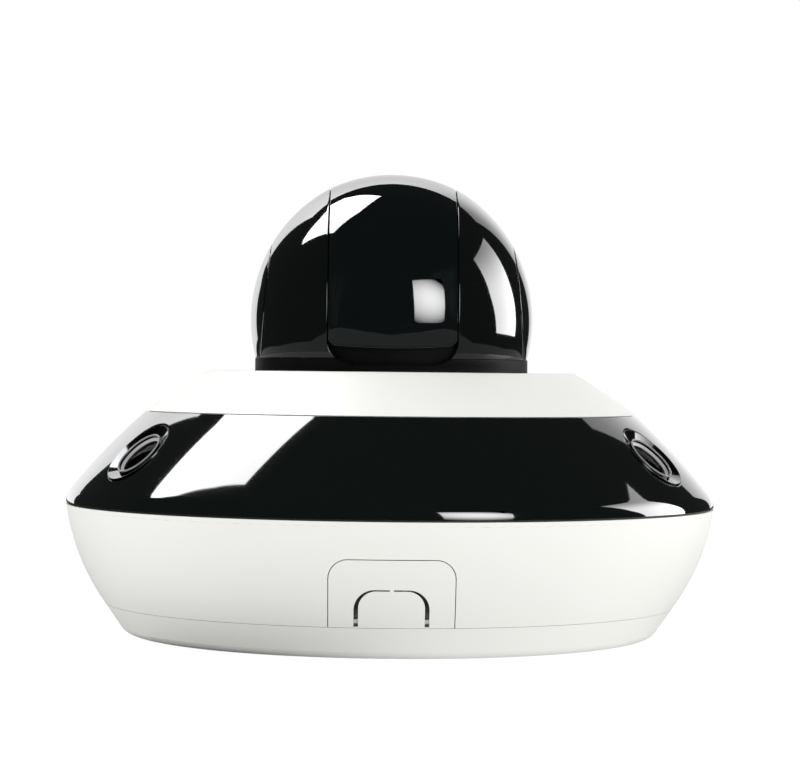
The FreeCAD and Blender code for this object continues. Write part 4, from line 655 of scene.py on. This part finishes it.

# %% [markdown]
# ## Lens modules
# Each module is turned about its lens axis, which leans 46 degrees up from the ceiling's plane. A
# polished bezel slopes in to a raised tube that carries a thin satin ring. Inside the tube a small
# funnel is coloured pale grey so that its far side shows as a crescent, on the far side only: a
# painted reflection that stands in for a crescent of reflected light. The window under it is coated,
# so it stays dark. One outline could hold all of it, but a real module is put together from several
# parts, and each has a finish of its own. The pieces are made upright and then leaned and moved, and
# that move is in their points, so the objects stay at the origin.

# %% Bezels, rings, funnels and windows
LEAN_BACK = math.pi / 2 - LENS_UP
MODULE_STEPS, WINDOW_STEPS = 128, 96
BEZEL = [(13.25, -7), (14.15, -7), (14.15, -0.4, ROUND), (13.95, -0.12, ROUND), (9.85, -1.85),
         (9.78, -0.95), (9.15, -0.95), (9.15, -3), (13.25, -3)]
INNER_RING = [(9.77, -0.94), (9.72, -0.45, ROUND), (9.25, -0.45, ROUND), (9.16, -0.94)]
FUNNEL = [(9.1, -2.4), (9.1, -1.66, ROUND), (8.95, -1.66), (8.05, -2.4)]
LENS_WINDOW = [(0, -4.5), (13.2, -4.5), (13.2, -3.02), (9, -3.02), (9, -2.42), (7.85, -2.42),
               *bow((7.85, -2.42), (0, -1.6), 38, 14)]


def to_module(points, turn):
    """From the lens frame to the camera's: lean, move out to the band, turn round."""
    cos, sin = math.cos(LEAN_BACK), math.sin(LEAN_BACK)
    lean = np.array([[1, 0, 0], [0, cos, -sin], [0, sin, cos]])
    return about_z(points @ lean.T + LENS_AT, math.radians(turn))


# The funnel's pale finish paints in the crescent reflection inside each lens.
painted_crescent_finish = finish_of("funnel_grey", funnel_grey)
for number, turn in enumerate(LENS_TURNS, 1):
    place = partial(to_module, turn=turn)
    bezel = f"lens_bezel_{number}"
    ring(f"bezel_{number}", BEZEL, "base", bezel, "dark_chrome", 0.18, MODULE_STEPS, place)
    ring(f"inner_ring_{number}", INNER_RING, "base", bezel, "button_grey", 0.2, MODULE_STEPS, place)
    funnel = ring(f"funnel_{number}", FUNNEL, "base", bezel, "button_grey", 0.1, MODULE_STEPS,
                  place)
    funnel.data.materials[0] = painted_crescent_finish
    ring(f"window_{number}", LENS_WINDOW, "base", f"lens_window_{number}", "lens_glass",
         steps=WINDOW_STEPS, place=place)

# %% [markdown]
# ## Ball
# Every skin of the ball is part of a sphere, and a point on it is given by $x$ and by the angle
# $t$ about the tilt axis: $(x,\ -\rho\cos t,\ z_0 + \rho\sin t)$ with
# $\rho = \sqrt{R^2 - (|x| + c)^2}$. A cheek lies between the drum's slot, whose lower corners are
# round, and the leaning seam of its side cap. Both depend on the height, and the height depends on
# $x$, so $x$ is found by repeating the two steps forty times. A ball cut up with planes would be
# quicker, but it would leave slivers along the seams, right where the black gloss shows every flaw.

# %% Ball
TILT_Z, CHEEK_R, SHIFT = 121.1 * MM, 58.03 * MM, 3.33 * MM
SLOT, LIP_TOP, LIP_ROUND, SKIRT_TOP = 24.5 * MM, 103 * MM, 10 * MM, 106 * MM
CAP_X, CAP_LEAN, CAP_GAP = 49.1 * MM, math.tan(math.radians(5.06)), 0.35 * MM
HEART = (0, 0, TILT_Z)
STEP = 0.8 * MM


def on_ball(x, angle, radius, shift, side=1):
    """(x, -p cos t, z0 + p sin t) with p = sqrt(R^2 - (|x| + c)^2)."""
    reach = np.sqrt(np.maximum(radius**2 - (np.abs(x) + shift) ** 2, 0))
    return points_of(side * x, -reach * np.cos(angle), TILT_Z + reach * np.sin(angle))


def slot_edge(height, front):
    """Half width of the slot at a height: straight, with the quarter round at the foot in front."""
    below = np.clip(LIP_TOP + LIP_ROUND - height, 0, LIP_ROUND)
    rounded = SLOT - LIP_ROUND + np.sqrt(LIP_ROUND**2 - below**2)
    return np.where(front, rounded, SLOT)


def cheek_grid(side):
    """Rows along the seam from the skirt's top in front, over the ball, to its top at the back."""
    across = rows(24 * MM, STEP)[:, None]
    along = rows(180 * MM, 1.2 * MM)[None, :]
    x = SLOT + across * (CAP_X - SLOT) + along * 0
    for _ in range(40):
        reach = np.sqrt(CHEEK_R**2 - (x + SHIFT) ** 2)
        low = np.arcsin(np.minimum((TILT_Z - SKIRT_TOP) / reach, 1))
        angle = -low + along * (math.pi + 2 * low)
        height = TILT_Z + reach * np.sin(angle)
        inner = slot_edge(height, np.cos(angle) > 0)
        x = inner + across * (CAP_X - (height - TILT_Z) * CAP_LEAN - inner)
    return on_ball(x, angle, CHEEK_R, SHIFT, side)


def cap_grid(side):
    """Rings round the ball's pole, out to the seam or to the level lower edge."""
    angle = np.linspace(0, TURN, 361)[None, :]
    share = rows(24 * MM, STEP, low=False)[:, None]
    lift = CHEEK_R * np.sin(angle) * CAP_LEAN
    base = CAP_X + CAP_GAP + SHIFT
    seam = np.arctan2(lift, CHEEK_R) + np.arccos(base / np.hypot(CHEEK_R, lift))
    drop = (TILT_Z - SKIRT_TOP) / (CHEEK_R * np.maximum(-np.sin(angle), 1e-9))
    polar = np.minimum(seam, np.where(drop < 1, np.arcsin(np.minimum(drop, 1)), seam)) * share
    return on_ball(CHEEK_R * np.cos(polar) - SHIFT, angle, CHEEK_R, SHIFT, side)

# %% [markdown]
# The cheeks and the side caps are separate mouldings on the real ball, so they are separate pieces
# here, with a real gap along the seam instead of a painted line.

# %% Cheeks and caps
for side, label in ((-1, "left"), (1, "right")):
    skin(f"cheek_{label}", [cheek_grid(side)], HEART, WALL, "turret", "turret_shell", "black_shell")
    skin(f"cap_{label}", [cap_grid(side)], HEART, WALL, "turret", f"turret_cap_{label}",
         "black_shell")

# %% [markdown]
# ## Skirt
# The matt ring under the ball turns with it. Its lower part is a plain cylinder, and towards the
# top it flares to just inside the cheeks, along the smooth step $3s^2 - 2s^3$. Before the drum its
# edge stays low, so that the drum can tilt past it.

# %% Skirt
SKIRT_R, SKIRT_FOOT, SHELL_FOOT = 52.9 * MM, 89 * MM, 101.4 * MM
FLANGE, INSIDE_CHEEK = 5 * MM, 0.1 * MM
LIP_STEP = 0.002


def skirt_grid():
    """Rows from the flange inside, down at the foot, up to the edge, at each azimuth."""
    corner = math.asin(SLOT / (CHEEK_R - SHIFT))
    both = np.array([-1, 1])
    azimuth = np.unique(np.concatenate([np.linspace(0, TURN, 361), math.pi + corner * both,
                                        math.pi + (corner + LIP_STEP) * both]))[:, None]
    x = np.abs(np.sin(azimuth)) * (CHEEK_R - SHIFT)
    inside = np.clip(x - (SLOT - LIP_ROUND), 0, LIP_ROUND)
    front = LIP_TOP + LIP_ROUND - np.sqrt(LIP_ROUND**2 - inside**2)
    back = np.where(x > SLOT + 1e-9, SKIRT_TOP, LIP_TOP)
    top = np.minimum(np.where(np.cos(azimuth) > 0, front, back), SKIRT_TOP)
    share = rows(17 * MM, 1.0 * MM, low=False)[None, :]
    height = SKIRT_FOOT + share * (top - SKIRT_FOOT)
    aside = SHIFT * np.abs(np.sin(azimuth))
    full = np.sqrt(aside**2 + CHEEK_R**2 - SHIFT**2 - (TILT_Z - SKIRT_TOP) ** 2)
    flare = np.maximum(full - aside - INSIDE_CHEEK - SKIRT_R, 0)
    rise = np.clip((height - SHELL_FOOT) / (SKIRT_TOP - SHELL_FOOT), 0, 1)
    radius = SKIRT_R + flare * rise * rise * (3 - 2 * rise)
    radius = np.concatenate([np.full_like(azimuth, SKIRT_R - FLANGE), radius], 1)
    height = np.concatenate([np.full_like(azimuth, SKIRT_FOOT), height], 1)
    return points_of(radius * np.sin(azimuth), -radius * np.cos(azimuth), height)


skin("skirt", [skirt_grid()], HEART, WALL, "turret", "turret_shell", "black_inner")

# %% [markdown]
# ## Window
# The drum's window is a strip of a sphere a little smaller than the ball, and it tilts with the
# drum. Its two lower corners are round: there each row of points starts a little higher.

# %% Window
DRUM_R, DRUM_HALF, CORNER = 56.5 * MM, 24.0 * MM, 3 * MM
WINDOW_LENGTH, WINDOW_WALL = 116 * MM, 2.2 * MM
LOW, HIGH = math.radians(-11.7), math.radians(107)


def window_grid():
    """The drum's smoked strip from the angle LOW to HIGH, with its two lower corners round."""
    x = (rows(2 * DRUM_HALF, STEP)[:, None] * 2 - 1) * DRUM_HALF
    along = rows(WINDOW_LENGTH, STEP)[None, :]
    inside = np.clip(np.abs(x) - (DRUM_HALF - CORNER), 0, CORNER)
    lift = (CORNER - np.sqrt(CORNER**2 - inside**2)) / DRUM_R
    return on_ball(x, LOW + lift + along * (HIGH - LOW - lift), DRUM_R, 0)


skin("window", [window_grid()], HEART, WINDOW_WALL, "drum", "drum_window", "smoked_window")

# %% [markdown]
# ## The studio
# Polished black shows the room and nothing else, so the room is built for it. Each card glows for
# glossy rays only. Where it stands was worked out backwards: from a highlight's place on the band
# or the ball, the surface's slope there gives the direction that the highlight comes from. The
# white shells are lit apart from the cards, by a plain sky, the floor and two lamps that the gloss
# doesn't see. A picture of a studio round the scene would do the same work, but its parts couldn't
# be moved one by one.


# %% Sheets and cards
def sheet_of(name, corners, faces=None):
    """A flat stage piece: one face round all the corners, or the faces given."""
    mesh = bpy.data.meshes.new(name)
    mesh.from_pydata(corners, [], faces or [range(len(corners))])
    made = bpy.data.objects.new(name, mesh)
    bpy.context.scene.collection.objects.link(made)
    return made


def card(name, corners, radiance, shape=None, faces=None):
    """A glowing panel that only gloss sees. Shape gives its share of the radiance from x, y, z."""
    made = sheet_of(name, corners, faces)
    for ray in ("camera", "diffuse", "transmission", "volume_scatter", "shadow"):
        setattr(made, "visible_" + ray, False)
    s = Shader(bpy.data.materials.new(name))
    strength = shape(*s.axes()) * radiance if shape else radiance
    glow = s.node("ShaderNodeEmission", None, {"Color": WHITE, "Strength": strength})
    made.data.materials.append(s.surface(glow))


def square(value):
    return value * value

# %% [markdown]
# A flat card gives a flat highlight with hard edges, as on the photographed ball. Where a highlight
# fades, the card does, by a formula in metres.


# %% Cards
def dimmer_above(x, y, z):
    return 1 - 0.75 * z.over(0.72, 0.7)


def bright_middle(x, y, z):
    return 1 - 3.4 * square(x - 0.56) - 6.4 * square(z - 0.43)


def bright_corners(x, y, z):
    """Brighter away from the middle on the left, and a little brighter at both ends."""
    spread = 1.2 * (square(x) + square(z - 0.12)) * (1 - x.over(0.6, 1.2))
    return 0.95 + spread + 0.4 * x.over(0.35, 0.5) + 0.35 * (1 - x.over(-0.5, 0.4))


def on_plane(axis, level, outline):
    """Corners in space from pairs of the other two coordinates, on the plane axis = level."""
    return [(*corner[:axis], level, *corner[axis:]) for corner in outline]


X, Y, Z = 0, 1, 2
upper_left = [(-1.14, 0.46), (-1.06, 0.51), (-0.80, 0.51), (-0.70, 0.51), (-0.58, 0.56),
              (-0.46, 0.59), (-0.34, 0.58), (-0.21, 0.47), (-0.08, 0.34), (-0.17, 0.20),
              (-0.27, 0.09), (-0.40, 0.03), (-0.52, -0.02), (-0.60, -0.05), (-0.74, 0.07),
              (-0.89, 0.22)]
right = [(0.1, 0), (0.7, 0), (0.67, 0.5), (0.73, 1.14), (-0.03, 0.95), (0, 0.4)]
front_window = [(0.3, 0.07), (0.83, 0.07), (0.90, 0.65), (0.86, 0.84), (0.29, 0.70)]
behind = [(-1.05, 0), (0.80, 0), (1.44, 1.7), (-1.33, 1.7), (-0.86, 0.48), (-1.05, 0.4)]

card("upper_left", on_plane(Z, 1, upper_left), 18)
card("right", on_plane(X, 1.2, right), 13, dimmer_above)
card("front_window", on_plane(Y, -1, front_window), 21, bright_middle)
card("behind", on_plane(Y, 1.5, behind), 1, bright_corners)

# %% [markdown]
# The lowest part of the band mirrors the table that the camera stands on. That table is a ring of
# glowing paper between two edges, and the outer edge changes its distance round the camera.

# %% Table
TABLE_POINTS, TABLE_INSIDE, TABLE_GLOW = 73, 0.31, 0.34
paper_turns = np.linspace(-180, 180, TABLE_POINTS)
paper_edge = np.interp(np.abs(paper_turns), [0, 20, 41, 55, 70, 107, 138, 180],
                       [0.57, 0.72, 1.1, 0.8, 0.51, 0.57, 0.83, 0.9])
table = [(r * math.sin(math.radians(a)), -r * math.cos(math.radians(a)), 0)
         for edge in (np.full(TABLE_POINTS, TABLE_INSIDE), paper_edge)
         for r, a in zip(edge, paper_turns)]
card("table", table, TABLE_GLOW,
     faces=[(k, k + 1, k + 1 + TABLE_POINTS, k + TABLE_POINTS) for k in range(TABLE_POINTS - 1)])

# %% [markdown]
# The floor is white for the camera, with a share of plain diffuse white left in it for the soft
# shadow. Gloss doesn't see it. What it throws back on the shells grows towards the right, and it
# is dark round the left side of the foot, where the base ring is in its own shadow.

# %% Floor
ASIDE, NEAR, FAR, FLOOR_Z = 4, -2, 6, -0.2 * MM
floor = sheet_of("floor", [(-ASIDE, NEAR, FLOOR_Z), (ASIDE, NEAR, FLOOR_Z), (ASIDE, FAR, FLOOR_Z),
                           (-ASIDE, FAR, FLOOR_Z)])
floor.visible_glossy = False
s = Shader(bpy.data.materials.new("floor"))
seen = s.node("ShaderNodeLightPath", output="Is Camera Ray")
x, y, _ = s.axes()
at_foot = 1 - ((x * x + y * y) ** 0.5).over(0.125, 0.02)
contact = at_foot * (1 - x.over(-0.02, 0.1)) * x.over(-0.1, 0.05)
bounce = (0.44 + 0.42 * x.over(0.0, 0.4)) * (1 - 0.95 * contact)
glow = s.node("ShaderNodeEmission", None, {"Color": WHITE, "Strength": pick(seen, 0.93, bounce)})
matt = s.node("ShaderNodeBsdfDiffuse", None, {"Color": grey(0.16)})
floor.data.materials.append(s.surface(s.node("ShaderNodeAddShader", None, {0: glow, 1: matt})))

# %% [markdown]
# The sky is white where the camera sees it, nearly black in gloss, and grey as a light. Light Path
# tells the three apart.

# %% Sky
SKY_SEEN, SKY_IN_GLOSS, SKY_LIGHT = 1.0, 0.03, 0.43
world = bpy.data.worlds.new("sky")
bpy.context.scene.world = world
s = Shader(world)
is_camera, is_glossy, is_through = (
    s.node("ShaderNodeLightPath", output=f"Is {name} Ray")
    for name in ("Camera", "Glossy", "Transmission"))
sharp = s.math("MAXIMUM", is_glossy, is_through)
strength = pick(is_camera, SKY_SEEN, pick(sharp, SKY_IN_GLOSS, SKY_LIGHT))
s.surface(s.node("ShaderNodeBackground", None, {"Color": WHITE, "Strength": strength}))

# %% [markdown]
# Two large lamps stand to the right and to the left of the view. Large lamps give soft shade, and
# their balance makes the white shells lighter on one side, as in the photo.

# %% Lamps
BODY_MIDDLE = (0, 0, 60 * MM)


def lamp(name, place, size, power):
    """A square lamp turned to the camera's body. Gloss and the view don't see it."""
    light = bpy.data.lights.new(name, "AREA")
    light.shape = "SQUARE"
    light.size = size
    light.energy = power
    made = bpy.data.objects.new(name, light)
    made.location = place
    made.rotation_euler = (Vector(BODY_MIDDLE) - Vector(place)).to_track_quat("-Z", "Y").to_euler()
    made.visible_glossy = False
    made.visible_camera = False
    bpy.context.scene.collection.objects.link(made)


lamp("key", (1.4, -1.05, 0.8), 1.0, 20)
lamp("fill", (-1.42, -0.72, 0.42), 1.2, 21)
